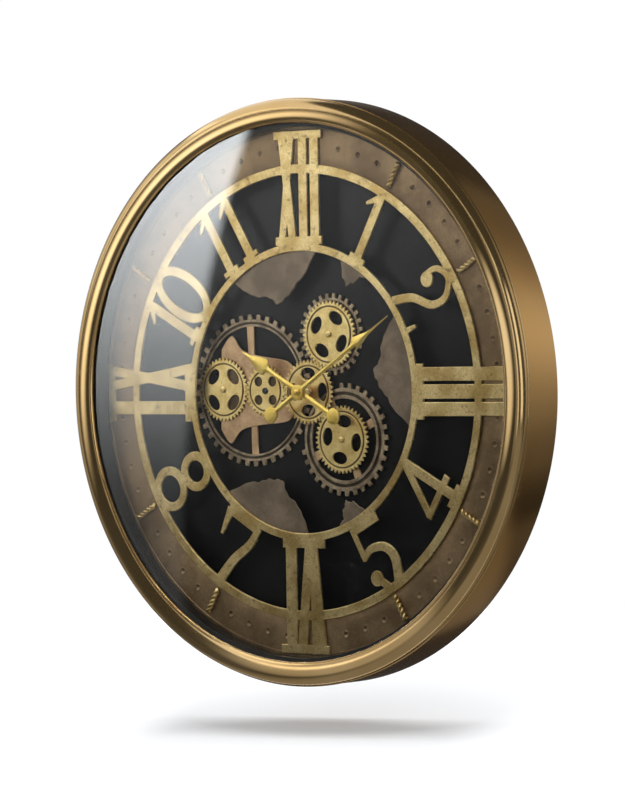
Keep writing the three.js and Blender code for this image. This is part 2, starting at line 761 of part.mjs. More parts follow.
// Roman strokes run from under the inner ring to the tips of the numerals on the chapter ring
const romanFoot = -0.08;
const romanTop = Math.sqrt(numeralReach ** 2 - romanHalf ** 2);
const romanTip = (romanTop - innerRingOuter) / (outerRingInner - innerRingOuter);
const romanBar = (u, width) => bar([u, romanFoot], [u, romanTip], width);
const romanSlant = (footU, tipU, footWidth, tipWidth) => (
  bar([footU, romanFoot], [tipU, romanTip], footWidth, tipWidth)
);

function serifs(footHalf, tipHalf) {
  const serifHalf = serifDepth / 2 / (outerRingInner - innerRingOuter);
  return [
    bar([-footHalf, serifHalf / 2], [footHalf, serifHalf / 2], serifDepth),
    bar([-tipHalf, romanTip - serifHalf], [tipHalf, romanTip - serifHalf], serifDepth),
  ];
}

function digitOne(u) {
  return [
    bar([u + 2, -0.05], [u, 1.04], 10.5),
    bar([u - 1, 0.98], [u - 14.5, 0.8], 8, 3.5),
    bar([u - 9, 0.03], [u + 12, 0.03], 6),
  ];
}

const numerals = {
  12: () => [
    ...serifs(31, romanHalf),
    romanSlant(-7, -21.5, 10, 11),
    romanSlant(-23, -8.5, 9.5, 9),
    romanBar(6.5, 11.5),
    romanBar(21.8, 12),
  ],
  1: () => digitOne(-3),
  2: () => [
    ball([-14, 0.66], 8),
    sweep([[-19, 0.62], [-17, 0.88], [-2, 0.99], [13, 0.82], [11, 0.55], [-8, 0.3], [-18, -0.03]], 6, 9.5),
    bar([17, -0.03], [18.5, 0.15], 7, 4),
  ],
  3: () => [...serifs(28, 28), romanBar(-17.5, 14), romanBar(0, 14.4), romanBar(17.5, 14)],
  4: () => [
    bar([-5, -0.05], [-8, 1.05], 10.5),
    bar([-3, 0.02], [25, 0.74], 8),
    bar([-21, 0.73], [28, 0.73], 8),
    bar([-20, 0.97], [5, 0.97], 6),
  ],
  5: () => [
    bar([15, 0.04], [-21, 0.04], 9, 12),
    bar([14.5, 0], [15, 0.5], 6.5),
    sweep([[17, 0.47], [2, 0.41], [-14, 0.5], [-20, 0.72], [-13, 1.03]], 7, 12),
    ball([11, 0.82], 8),
    bar([9, 0.84], [2, 1.04], 7, 10),
  ],
  6: () => [
    ...serifs(28, romanHalf),
    romanBar(17.2, 14.4),
    romanSlant(-8, 4, 11, 13),
    romanSlant(-11.5, -19.5, 10, 19),
  ],
  7: () => [
    bar([-20, 0.03], [27, 0.03], 9),
    bar([24.5, 0], [23.5, 0.42], 10, 3.5),
    sweep([[-18, 0], [-15, 0.3], [-4, 0.64], [3, 1.05]], 8, 12),
  ],
  8: () => [loop(2, -0.075, 0.5, 11.5, 9.5), loop(3.5, 0.46, 1.09, 14.5, 9.5)],
  9: () => [
    ...serifs(30, 30),
    romanBar(-15.5, 14),
    romanSlant(6, 25, 11, 10),
    romanSlant(26, 7, 11, 10),
  ],
  10: () => [...digitOne(-22.5), loop(9, -0.066, 1.126, 14, 10.5)],
  11: () => [...digitOne(-18.5), ...digitOne(12.5)],
};

// Skeleton dial: two rings joined by the twelve cut-out numerals
function addNumeralDial() {
  const rings = [
    ring(innerRingRadius, innerRingOuter, dialRear, dialFront),
    ring(outerRingInner, outerRingOuter, dialRear, dialFront),
  ];
  const figures = Object.entries(numerals).map(([hour, strokes]) => (
    joined(strokes()).rotate([0, 0, -hourDegrees * Number(hour)])
  ));
  addPiece('numeral_dial', joined([...rings, ...figures]), antiqueBrass);
}

// A ragged-edged bronze leaf behind the inner ring: its outline in degrees round the dial from the leaf's
// deepest point and in shares of its reach towards the centre
function leafPlate(hour, reach, edge) {
  const under = innerRingRadius + leafUnder;
  const turnAt = (degrees) => hourTurn(hour) - THREE.MathUtils.degToRad(degrees);
  const points = edge.map(([degrees, share]) => polar(innerRingRadius - share * reach, turnAt(degrees)));
  const rim = [edge.at(-1)[0], edge[0][0]].map(turnAt);
  const rimSteps = 6;
  const back = Array.from({ length: rimSteps + 1 }, (_, i) => (
    polar(under, THREE.MathUtils.lerp(rim[0], rim[1], i / rimSteps))
  ));
  const front = new THREE.SplineCurve(points).getPoints(3 * points.length);
  return slab([...front, ...back].reverse(), leafFront - leafThickness, leafFront);
}

function addLeaves() {
  const largeEdge = [[-22, 0], [-18.5, 0.42], [-9, 0.75], [0, 1], [9.8, 0.8], [18, 0.52], [24.5, 0]];
  const smallEdge = [[-8.5, 0], [-5, 0.75], [0, 1], [4, 0.3], [7.5, 0]];
  largeLeafHours.forEach((hour, i) => {
    addPiece(`large_leaf_${i + 1}`, leafPlate(hour, largeLeafReach, largeEdge), leafBronze);
  });
  smallLeafHours.forEach((hour, i) => {
    addPiece(`small_leaf_${i + 1}`, leafPlate(hour, smallLeafReach, smallEdge), leafBronze);
  });
}

// A ridged hand along +Y, with its hub and its counterweight disc
function handBlade(length, shape, tail, rear) {
  const stations = [[-tail, tailWidth], ...shape.map(([share, width]) => [share * length, width])];
  const sections = stations.map(([distance, width]) => [
    new THREE.Vector3(-width / 2, distance, rear),
    new THREE.Vector3(-width / 2, distance, rear + handEdge),
    new THREE.Vector3(0, distance, rear + handRidge),
    new THREE.Vector3(width / 2, distance, rear + handEdge),
    new THREE.Vector3(width / 2, distance, rear),
  ]);
  const hub = disc(handHubRadius, rear, rear + handRidge, undefined, discSides);
  const weight = disc(tailDiscRadius, rear, rear + handRidge, new THREE.Vector2(0, -tail), discSides);
  return joined([loft(sections), hub, weight]);
}

function addHands() {
  const arborHole = disc(arborRadius + seatGap, minuteRear - cutOver, minuteFront + cutOver);
  const pipeHole = disc(pipeInner, hourRear - cutOver, hourFront + cutOver);
  const pipe = ring(pipeInner, pipeOuter, arborRear, hourRear, roundSides);
  const minuteBlade = handBlade(minuteLength, minuteShape, minuteTail, minuteRear).subtract(arborHole);
  const hourBlade = handBlade(hourLength, hourShape, hourTail, hourRear).subtract(pipeHole).add(pipe);
  addPiece('minute_hand', minuteBlade.rotate([0, 0, -minuteAngle]), handGold);
  addPiece('hour_hand', hourBlade.rotate([0, 0, -hourAngle]), handGold);
  addPiece('minute_arbor', disc(arborRadius, arborRear, nutRear - seatGap / 2), steel);
  addPiece('hand_nut', turned([
    [0, nutRear],
    [nutRadius, nutRear],
    [nutRadius, (nutRear + nutFront) / 2],
    [nutTopRadius, nutFront],
    [0, nutFront],
  ], roundSides), handGold);
}

// A cell lying along X in an open bay, and the cut that the bay makes in its housing
const cellHeight = movementGap + cellGap + cellRadius;

function cellAt(center) {
  const body = new THREE.CylinderGeometry(cellRadius, cellRadius, cellLength, roundSides);
  body.rotateZ(Math.PI / 2).translate(center.x, center.y, cellHeight);
  const knob = new THREE.CylinderGeometry(cellKnobRadius, cellKnobRadius, cellGap, roundSides);
  knob.rotateZ(Math.PI / 2).translate(center.x + (cellLength + cellGap) / 2, center.y, cellHeight);
  return solidFrom(body).add(solidFrom(knob));
}

function bayCut(center) {
  const width = cellLength + 2 * contactGap;
  return slab(rectangle(width, bayDepth, center), 0, housingFront - bayFloor);
}

// Quartz movement behind the hands' axis, with its threaded bush through the board
function addMovement() {
  const cellCenter = new THREE.Vector2(0, bayDepth / 2 + bayInset - movementSize / 2);
  const settingCenter = new THREE.Vector2(0, settingOffset);
  const wellDepth = settingHeight + 2 * runGap;
  const housing = slab(rectangle(movementSize, movementSize), movementGap, housingFront);
  const bush = disc(bushOuter, housingFront - cutOver, bushFront);
  const bore = disc(bushInner, arborRear - runGap, bushFront + cutOver);
  const well = disc(settingRadius + edgeGap, 0, movementGap + wellDepth, settingCenter);
  const stemHole = disc(settingStem + runGap, 0, movementGap + 2 * wellDepth, settingCenter);
  const cuts = joined([well, stemHole, bayCut(cellCenter)]);
  addPiece('quartz_movement', housing.add(bush).subtract(bore).subtract(cuts), blackPlastic);
  addPiece('time_cell', cellAt(cellCenter), cellJacket);
  const knobRear = movementGap + runGap;
  const knob = disc(settingRadius, knobRear, knobRear + settingHeight, settingCenter, discSides);
  const stem = disc(settingStem, knobRear, movementGap + 2 * wellDepth - runGap, settingCenter);
  addPiece('setting_wheel', knob.add(stem), whitePlastic);
  const nutHole = circle(bushOuter + seatGap, roundSides);
  const nut = slab(circle(bushNutRadius, nutSides), boardFront + seatGap, bushNutFront, [nutHole]);
  addPiece('bush_nut', nut, steel);
}

// Gear motor behind the left gear, with its own cell and a slide switch
function addMotor() {
  const low = motorHeight / 2;
  const cellCenter = new THREE.Vector2(leftAxis.x, leftAxis.y + bayDepth / 2 + bayInset - low);
  const switchCenter = new THREE.Vector2(leftAxis.x, leftAxis.y + low - bayInset - switchWidth);
  const slotLength = switchLength + switchTravel + 2 * runGap;
  const slotCenter = new THREE.Vector2(switchCenter.x + switchTravel / 2, switchCenter.y);
  const slotFloor = movementGap + switchHeight;
  const housing = slab(rectangle(motorWidth, motorHeight, leftAxis), movementGap, housingFront);
  const arborBore = disc(studRadius + runGap, arborRear - runGap, housingFront + cutOver, leftAxis);
  const slot = slab(rectangle(slotLength, switchWidth + 2 * runGap, slotCenter), 0, slotFloor + runGap);
  const motor = housing.subtract(arborBore).subtract(slot).subtract(bayCut(cellCenter));
  addPiece('gear_motor', motor, blackPlastic);
  addPiece('motor_cell', cellAt(cellCenter), cellJacket);
  const slide = slab(rectangle(switchLength, switchWidth, switchCenter), movementGap + runGap, slotFloor);
  addPiece('motor_switch', slide, whitePlastic);
}

// Keyhole hanger riveted on the rear flange at twelve
function addHanger() {
  const front = drumRear - seatGap;
  const top = (flangeRadius + caseRadius - caseWall) / 2;
  const middle = new THREE.Vector2(0, top - hangerHeight / 2);
  const keyhole = new THREE.Vector2(0, top - hangerHeight + 2 * keyholeRadius);
  const slotTop = keyhole.y + keyholeDrop;
  const halfSlot = Math.asin(keyholeSlot / keyholeRadius);
  const arcStart = fullTurn / 4 + halfSlot;
  const arcSpan = fullTurn - 2 * halfSlot;
  const steps = 12;
  const hole = Array.from({ length: steps + 1 }, (_, i) => (
    polar(keyholeRadius, arcStart + (i / steps) * arcSpan, keyhole)
  ));
  hole.push(new THREE.Vector2(keyholeSlot, slotTop), new THREE.Vector2(-keyholeSlot, slotTop));
  const plate = slab(rectangle(hangerWidth, hangerHeight, middle), front - hangerThickness, front, [hole]);
  addPiece('hanger_plate', plate, steel);
}

addCase();
addBezel();
addBoard();
addChapterRing();
addNumeralDial();
addLeaves();
addRingGears();
addGearTrain();
addStuds();
addHands();
addMovement();
addMotor();
addHanger();

// Stood upright, with the back towards +Y
const gearWallClock = new THREE.Group();
clock.rotation.x = Math.PI / 2;
gearWallClock.add(clock);

export default gearWallClock;
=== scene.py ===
import json
import math

import bpy
import bmesh
from mathutils import Matrix, Vector
from mathutils.geometry import delaunay_2d_cdt

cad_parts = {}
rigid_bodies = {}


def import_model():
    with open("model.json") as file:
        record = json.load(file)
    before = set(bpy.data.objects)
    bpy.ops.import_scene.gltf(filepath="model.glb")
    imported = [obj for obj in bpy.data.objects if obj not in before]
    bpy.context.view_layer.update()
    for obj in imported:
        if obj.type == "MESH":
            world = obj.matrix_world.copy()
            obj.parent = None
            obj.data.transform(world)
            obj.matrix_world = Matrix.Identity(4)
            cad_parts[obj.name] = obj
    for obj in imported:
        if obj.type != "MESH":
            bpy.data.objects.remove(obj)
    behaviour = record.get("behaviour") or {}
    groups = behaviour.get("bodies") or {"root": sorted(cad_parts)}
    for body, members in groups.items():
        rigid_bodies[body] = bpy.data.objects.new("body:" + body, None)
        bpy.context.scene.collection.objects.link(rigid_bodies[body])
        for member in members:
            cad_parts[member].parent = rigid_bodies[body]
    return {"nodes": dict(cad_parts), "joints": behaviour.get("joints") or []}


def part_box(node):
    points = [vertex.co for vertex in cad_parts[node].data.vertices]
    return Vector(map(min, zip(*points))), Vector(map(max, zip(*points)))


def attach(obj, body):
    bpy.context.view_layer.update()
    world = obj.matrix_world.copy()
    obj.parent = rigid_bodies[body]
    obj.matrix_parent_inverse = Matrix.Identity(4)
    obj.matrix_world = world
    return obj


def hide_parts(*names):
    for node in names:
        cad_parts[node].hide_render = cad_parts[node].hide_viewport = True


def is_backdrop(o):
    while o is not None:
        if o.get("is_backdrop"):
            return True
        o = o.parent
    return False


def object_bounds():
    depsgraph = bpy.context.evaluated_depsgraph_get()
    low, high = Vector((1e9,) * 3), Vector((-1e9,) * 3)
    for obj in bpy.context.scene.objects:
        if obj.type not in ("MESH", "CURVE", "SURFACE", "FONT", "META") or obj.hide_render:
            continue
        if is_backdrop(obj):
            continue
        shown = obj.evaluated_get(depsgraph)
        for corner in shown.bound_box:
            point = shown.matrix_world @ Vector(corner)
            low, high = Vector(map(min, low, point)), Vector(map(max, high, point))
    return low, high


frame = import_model()
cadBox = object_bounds()
joints = {joint["name"]: joint for joint in frame["joints"]}
print("frame loaded:", len(frame["nodes"]), "nodes")

mm = 0.001
fullTurn = 2 * math.pi


# Places and sizes: x to the right, z up, and depth counted from the wall towards the reader

def spot(x, z, depth):
    return Vector((x, -depth, z))


def measure(node):
    low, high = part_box(node)
    return {
        "x": (low.x + high.x) / 2,
        "z": (low.z + high.z) / 2,
        "radius": (high.x - low.x) / 2,
        "width": high.x - low.x,
        "height": high.z - low.z,
        "rear": -high.y,
        "front": -low.y,
    }


def polar(radius, angle, center=(0, 0)):
    return Vector((center[0] + radius * math.cos(angle), center[1] + radius * math.sin(angle)))


def around(count, make, start=0.0):
    return [make((start + i) * fullTurn / count) for i in range(count)]


def circle(radius, sides, center=(0, 0)):
    return around(sides, lambda angle: polar(radius, angle, center))


def ellipse(alongX, alongZ, sides, center, turn=0.0):
    spin = Matrix.Rotation(turn, 2)

    def rim(angle):
        return spin @ Vector((alongX * math.cos(angle), alongZ * math.sin(angle))) + Vector(center)

    return around(sides, rim)


def roundedBox(width, height, corner, center=(0, 0), steps=6):
    points = []
    for quarter, (sx, sz) in enumerate([(1, 1), (-1, 1), (-1, -1), (1, -1)]):
        hub = (center[0] + sx * (width / 2 - corner), center[1] + sz * (height / 2 - corner))
        for i in range(steps + 1):
            points.append(polar(corner, (quarter + i / steps) * fullTurn / 4, hub))
    return points


# A smooth open curve through points, with its ends held
def smoothCurve(points, steps):
    points = [Vector(p) for p in points]
    curve = []
    for i in range(len(points) - 1):
        p0, p1, p2 = points[max(i - 1, 0)], points[i], points[i + 1]
        p3 = points[min(i + 2, len(points) - 1)]
        leave, arrive = (p2 - p0) / 2, (p3 - p1) / 2
        for s in range(steps):
            t = s / steps
            bend = (2 * p1 - 2 * p2 + leave + arrive) * t**3
            curve.append(bend + (-3 * p1 + 3 * p2 - 2 * leave - arrive) * t**2 + leave * t + p1)
    return curve + [points[-1]]


def hourTurn(hour):
    return fullTurn / 4 - hour / 12 * fullTurn


# Shells: (vertices, faces) pairs that become meshes at the end

def joinShells(*shells):
    points, faces = [], []
    for shellPoints, shellFaces in shells:
        start = len(points)
        points += shellPoints
        faces += [[start + i for i in face] for face in shellFaces]
    return points, faces


# Corners given as (radius, depth, rounding) become a line with round corners
def softProfile(corners, steps=4, closed=True):
    line = []
    last = len(corners)
    longest = 0.49  # share of a side, so that two roundings never meet
    for i, (radius, depth, rounding) in enumerate(corners):
        here = Vector((radius, depth))
        if rounding == 0 or (not closed and i in (0, last - 1)):
            line.append(here)
            continue
        before = Vector(corners[i - 1][:2]) - here
        after = Vector(corners[(i + 1) % last][:2]) - here
        start = here + before.normalized() * min(rounding, before.length * longest)
        end = here + after.normalized() * min(rounding, after.length * longest)
        for s in range(steps + 1):
            bend = math.sin(s / steps * fullTurn / 4)
            t = bend / (bend + math.cos(s / steps * fullTurn / 4))
            line.append(start * (1 - t) ** 2 + here * (2 * t * (1 - t)) + end * t**2)
    return line


# A turned shell: a closed ring section, or an open one whose two ends lie on the axis
def turned(profile, segments=64, center=(0, 0), angles=None):
    angles = angles or [i * fullTurn / segments for i in range(segments)]
    onAxis = profile[0][0] < 1e-9
    body = profile[1:-1] if onAxis else profile
    points = [spot(*polar(radius, a, center), depth) for a in angles for radius, depth in body]
    rows, columns = len(body), len(angles)
    faces = []
    for c in range(columns):
        here, there = c * rows, (c + 1) % columns * rows
        for r in range(rows if not onAxis else rows - 1):
            up = (r + 1) % rows
            faces.append([here + r, there + r, there + up, here + up])
    if onAxis:
        first = len(points)
        points += [spot(*center, profile[0][1]), spot(*center, profile[-1][1])]
        for c in range(columns):
            here, there = c * rows, (c + 1) % columns * rows
            faces.append([first, there, here])
            faces.append([first + 1, here + rows - 1, there + rows - 1])
    return points, faces


def counterclockwise(outline):
    area = sum(a.x * b.y - b.x * a.y for a, b in zip(outline, outline[1:] + outline[:1]))
    return outline if area > 0 else outline[::-1]


# A flat plate: the union of some outlines less some holes, with its edges eased at both faces
def plate(solids, holes, rear, front, edge=0.4 * mm, rearEdge=0.2 * mm):
    outlines = [counterclockwise([Vector(p) / mm for p in o]) for o in (*solids, *holes)]
    points, rings = [], []
    for outline in outlines:
        rings.append(list(range(len(points), len(points) + len(outline))))
        points += outline
    flat, _, triangles, _, _, owners = delaunay_2d_cdt(points, [], rings, 0, 1e-5, True)
    solidCount = len(solids)
    kept = []
    for triangle, owner in zip(triangles, owners):
        if any(o < solidCount for o in owner) and not any(o >= solidCount for o in owner):
            kept.append(triangle)
    sides = {(t[i], t[(i + 1) % 3]) for t in kept for i in range(3)}
    border = [(a, b) for a, b in sorted(sides) if (b, a) not in sides]
    inward = {}
    for a, b in border:
        run = (flat[b] - flat[a]).normalized()
        for end in (a, b):
            inward.setdefault(end, []).append(Vector((-run.y, run.x)))
    offset = {}
    sharpest = 0.5  # keeps the inset short at sharp corners
    for corner, normals in inward.items():
        middle = sum(normals, Vector((0, 0))).normalized()
        offset[corner] = middle / max(middle.dot(normals[0]), sharpest)
    easing = [(1, 0), (0.35, 0.35), (0, 1)]
    levels = [(share * edge, front - drop * edge) for share, drop in easing]
    levels += [(0, rear + rearEdge), (rearEdge, rear)]
    shell, index = [], {}
    used = sorted({i for t in kept for i in t})
    for i in used:
        for level, (inset, depth) in enumerate(levels):
            if i not in offset and level not in (0, len(levels) - 1):
                continue
            place = flat[i] * mm + offset.get(i, Vector((0, 0))) * inset
            index[i, level] = len(shell)
            shell.append(spot(place.x, place.y, depth))
    last = len(levels) - 1
    faces = [[index[i, 0] for i in t] for t in kept]
    faces += [[index[i, last] for i in reversed(t)] for t in kept]
    for a, b in border:
        for k in range(last):
            faces.append([index[a, k], index[a, k + 1], index[b, k + 1], index[b, k]])
    return shell, faces


# A skin through equal closed sections, capped at both ends
def loft(sections):
    count = len(sections[0])
    points = [p for section in sections for p in section]
    faces = [list(range(count))[::-1], list(range(len(points) - count, len(points)))]
    for s in range(len(sections) - 1):
        for i in range(count):
            a, b = s * count + i, s * count + (i + 1) % count
            faces.append([a, b, b + count, a + count])
    return points, faces


def meshOf(name, shell, sharpDegrees=26, weld=1e-7):
    mesh = bpy.data.meshes.new(name)
    mesh.from_pydata(shell[0], [], shell[1])
    work = bmesh.new()
    work.from_mesh(mesh)
    bmesh.ops.remove_doubles(work, verts=work.verts, dist=weld)
    bmesh.ops.recalc_face_normals(work, faces=work.faces)
    work.to_mesh(mesh)
    work.free()
    mesh.shade_smooth()
    mesh.set_sharp_from_angle(angle=math.radians(sharpDegrees))
    return mesh


def addPiece(name, shape, body, slot, finish, *replaced):
    mesh = shape if isinstance(shape, bpy.types.Mesh) else meshOf(name, shape)
    piece = bpy.data.objects.new(name, mesh)
    bpy.context.scene.collection.objects.link(piece)
    mesh.materials.clear()
    mesh.materials.append(finish)
    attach(piece, body)
    if replaced:
        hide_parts(*replaced)
    return piece


# Node trees: a wire is a socket that takes part in sums, and each sum adds a Math node

class Wire:
    def __init__(self, socket):
        self.socket = socket
        self.tree = socket.id_data

    @staticmethod
    def node(tree, kind, inputs=None, settings=None):
        node = tree.nodes.new(kind)
        for key, value in (settings or {}).items():
            if key == "stops":
                Wire.setStops(node.color_ramp, value)
            else:
                setattr(node, key, value)
        for key, value in (inputs or {}).items():
            if isinstance(value, Wire):
                tree.links.new(value.socket, node.inputs[key])
            else:
                node.inputs[key].default_value = value
        return Wire(next(s for s in node.outputs if s.enabled)) if node.outputs else node

    @staticmethod
    def setStops(ramp, stops):
        while len(ramp.elements) < len(stops):
            ramp.elements.new(0.5)
        for element, (position, colour) in zip(ramp.elements, stops):
            element.position = position
            element.color = colour

    def out(self, name):
        return Wire(self.socket.node.outputs[name])

    def math(self, operation, first, second=0.0, third=0.0):
        values = {0: first, 1: second, 2: third}
        return Wire.node(self.tree, "ShaderNodeMath", values, {"operation": operation})

    def __add__(self, other):
        return self.math("ADD", self, other)

    def __radd__(self, other):
        return self.math("ADD", other, self)

    def __sub__(self, other):
        return self.math("SUBTRACT", self, other)

    def __rsub__(self, other):
        return self.math("SUBTRACT", other, self)

    def __mul__(self, other):
        return self.math("MULTIPLY", self, other)

    def __rmul__(self, other):
        return self.math("MULTIPLY", other, self)

    def __truediv__(self, other):
        return self.math("DIVIDE", self, other)

    def __rtruediv__(self, other):
        return self.math("DIVIDE", other, self)

    def __neg__(self):
        return self.math("MULTIPLY", self, -1.0)

    def __gt__(self, other):
        return self.math("GREATER_THAN", self, other)

    def peak(self, other):
        return self.math("MAXIMUM", self, other)

    # 0 below low, 1 above high, smooth between
    def ease(self, low, high):
        inputs = {"Value": self, "From Min": low, "From Max": high}
        return Wire.node(self.tree, "ShaderNodeMapRange", inputs, {"interpolation_type": "SMOOTHSTEP"})

    def mixColour(self, first, second):
        return Wire.node(self.tree, "ShaderNodeMix", {0: self, 6: first, 7: second}, {"data_type": "RGBA"})

    def vector(self, operation, other=(0, 0, 0)):
        return Wire.node(self.tree, "ShaderNodeVectorMath", {0: self, 1: other}, {"operation": operation})

    def axes(self):
        split = Wire.node(self.tree, "ShaderNodeSeparateXYZ", {0: self})
        return [split.out(axis) for axis in "XYZ"]


# A colour as it is read off a screen, 0 to 255, turned into the light it stands for
def tint(red, green, blue):
    def light(byte):
        share = byte / 255
        return share / 12.92 if share <= 0.04045 else ((share + 0.055) / 1.055) ** 2.4
    return (light(red), light(green), light(blue), 1.0)


# A new material, its shader and the place on the piece in metres
def startFinish(name, **fixed):
    material = bpy.data.materials.new(name)
    material.use_nodes = True
    tree = material.node_tree
    shader = tree.nodes["Principled BSDF"]
    for key, value in fixed.items():
        shader.inputs[key].default_value = value
    place = Wire.node(tree, "ShaderNodeTexCoord").out("Object")
    return material, shader, place


def feed(shader, **wires):
    for key, wire in wires.items():
        shader.id_data.links.new(wire.socket, shader.inputs[key])


def noise(place, scale, detail=4.0, roughness=0.55):
    inputs = {"Vector": place, "Scale": scale, "Detail": detail, "Roughness": roughness}
    return Wire.node(place.tree, "ShaderNodeTexNoise", inputs)


def bumpFrom(height, strength, distance):
    inputs = {"Height": height, "Strength": strength, "Distance": distance}
    return Wire.node(height.tree, "ShaderNodeBump", inputs)


# Distance from an axis that runs along Y
def awayFrom(place, axis):
    flat = place.vector("SUBTRACT", (axis[0], 0, axis[1])).vector("MULTIPLY", (1, 0, 1))
    return flat.vector("LENGTH").out("Value")


# 1 between two distances and 0 clear of them, with soft ends
def between(away, inner, outer, soft):
    return away.ease(inner - soft, inner + soft) * (1 - away.ease(outer - soft, outer + soft))


# Gear axes, from the joints

def axisOf(joint):
    place = joints[joint]["pos_m"]
    return Vector((place[0], place[2]))


centerAxis = axisOf("center_gear_turn")
idlerAxis = axisOf("idler_gear_turn")
leftAxis = axisOf("left_gear_turn")
upperAxis = axisOf("upper_gear_turn")
lowerAxis = axisOf("lower_gear_turn")
pivot = measure("ring_gear_pivot")
largeAxis = Vector((pivot["x"], pivot["z"]))

# Finishes: tones run from deep to bright, the dark of the pits last; a painted-shade band is an axis and two
# radii

finishShape = {
    "skinDepth": 0.2 * mm,
    "paintedShadeSoft": 0.3 * mm,
    "paintedShadeShare": 0.85,
    "speckRough": 0.18,
    "grainRise": 0.6,
    "cloudRise": 0.4,
    "speckDrop": 0.7,
}


# Polished or satin gilt: fine turning lines round the axis and slow drifts of tone
def turnedGilt(name, look):
    material, shader, place = startFinish(name, Metallic=1.0)
    across = {"W": (awayFrom(place, (0, 0)) - place.axes()[1]) * look["lines"], "Detail": 3.0}
    lines = Wire.node(place.tree, "ShaderNodeTexNoise", across, {"noise_dimensions": "1D"})
    drift = noise(place, look["drift"], 3.0).ease(0.35, 0.68)
    grime = noise(place, look["grime"], 6.0, 0.7).ease(0.55, 0.8)
    feed(shader, **{
        "Base Color": drift.mixColour(*look["tones"]),
        "Roughness": look["roughness"] + lines * look["lineSpread"] + grime * look["grimeSpread"],
        "Normal": bumpFrom(lines, look["lineBump"], finishShape["skinDepth"]),
    })
    return material


# Cast or stamped metal with a patina: clouds of tone, dark specks in the pits, a fine grain, and painted
# shade in rings round gear axes, where grooves and the parts under the gears fall into shadow
def agedMetal(name, look):
    material, shader, place = startFinish(name, Metallic=look["metallic"])
    deep, bright, dark = look["tones"]
    clouds = noise(place, look["cloudScale"], 5.0, 0.6)
    grain = noise(place, look["grainScale"], 3.0, 0.65)
    specks = noise(place, look["speckScale"], 4.0, 0.7).ease(*look["speckRange"])
    colour = clouds.ease(0.34, 0.66).mixColour(deep, bright)
    colour = (grain.ease(0.3, 0.75) * look["grainTone"]).mixColour(colour, dark)
    colour = (specks * look["speckTone"]).mixColour(colour, dark)
    # painted shade: darker rings round the gear axes, in grooves and under the gears, where shadow falls
    for axis, inner, outer in look.get("paintedShade", []):
        band = between(awayFrom(place, axis), inner * mm, outer * mm, finishShape["paintedShadeSoft"])
        colour = (band * finishShape["paintedShadeShare"]).mixColour(colour, look["paintedShadeTone"])
    height = grain * finishShape["grainRise"] + clouds * finishShape["cloudRise"]
    height = height - specks * finishShape["speckDrop"]
    feed(shader, **{
        "Base Color": colour,
        "Roughness": look["roughness"] + clouds * look["roughSpread"] + specks * finishShape["speckRough"],
        "Normal": bumpFrom(height, look["bump"], look["bumpDepth"]),
    })
    return material


# Smooth moulded or painted stuff with a faint orange-peel skin
def smoothSkin(name, look):
    material, shader, place = startFinish(name, **{"Specular IOR Level": look["gloss"]})
    clouds = noise(place, look["cloudScale"], 4.0).ease(0.3, 0.7)
    grain = noise(place, look["grainScale"], 3.0)
    feed(shader, **{
        "Base Color": clouds.mixColour(*look["tones"]),
        "Roughness": look["roughness"] + grain * look["roughSpread"],
        "Normal": bumpFrom(grain, look["bump"], finishShape["skinDepth"]),
    })
    return material


def glassFinish(name, look):
    fixed = {"IOR": look["index"], "Base Color": look["tone"], "Transmission Weight": 1.0}
    material, shader, place = startFinish(name, **fixed)
    smears = noise(place, look["smearScale"], 5.0, 0.6).ease(0.5, 0.85)
    feed(shader, Roughness=smears * look["smearRough"])
    return material


bezelGilt = turnedGilt("bezelGilt", {
    "tones": [tint(212, 177, 120), tint(230, 197, 142)],
    "roughness": 0.12, "lines": 2600.0, "lineSpread": 0.07, "lineBump": 0.04,
    "drift": 6.0, "grime": 30.0, "grimeSpread": 0.1,
})
caseGilt = turnedGilt("caseGilt", {
    "tones": [tint(206, 158, 94), tint(222, 176, 112)],
    "roughness": 0.16, "lines": 1800.0, "lineSpread": 0.12, "lineBump": 0.08,
    "drift": 5.0, "grime": 25.0, "grimeSpread": 0.1,
})
antiqueBrass = agedMetal("antiqueBrass", {
    "tones": [tint(196, 164, 100), tint(240, 213, 152), tint(92, 74, 44)],
    "metallic": 1.0, "roughness": 0.27, "roughSpread": 0.14, "bump": 0.4, "bumpDepth": 0.4 * mm,
    "cloudScale": 32.0, "grainScale": 520.0, "grainTone": 0.4,
    "speckScale": 170.0, "speckRange": (0.53, 0.7), "speckTone": 0.55,
})
gearBrass = agedMetal("gearBrass", {
    "tones": [tint(222, 190, 118), tint(246, 220, 152), tint(112, 86, 46)],
    "metallic": 1.0, "roughness": 0.28, "roughSpread": 0.12, "bump": 0.25, "bumpDepth": 0.4 * mm,
    "cloudScale": 70.0, "grainScale": 700.0, "grainTone": 0.25,
    "speckScale": 260.0, "speckRange": (0.58, 0.74), "speckTone": 0.5,
    # painted shade in the groove between each gear's rim and its disc
    "paintedShade": [(leftAxis, 26.2, 28), (centerAxis, 26.2, 28), (idlerAxis, 19.8, 21.6),
             (upperAxis, 27.8, 29.6), (lowerAxis, 27.8, 29.6)],
    "paintedShadeTone": tint(70, 52, 26),
})
darkBronze = agedMetal("darkBronze", {
    "tones": [tint(138, 119, 95), tint(186, 165, 135), tint(54, 44, 34)],
    "metallic": 0.9, "roughness": 0.3, "roughSpread": 0.14, "bump": 0.4, "bumpDepth": 0.4 * mm,
    "cloudScale": 80.0, "grainScale": 600.0, "grainTone": 0.4,
    "speckScale": 260.0, "speckRange": (0.56, 0.72), "speckTone": 0.6,
    # painted shade in the grooves of the ring gears
    "paintedShade": [(largeAxis, 68.6, 71.2), (upperAxis, 32.3, 34.6), (lowerAxis, 45.6, 49)],
    "paintedShadeTone": tint(34, 28, 24),
})
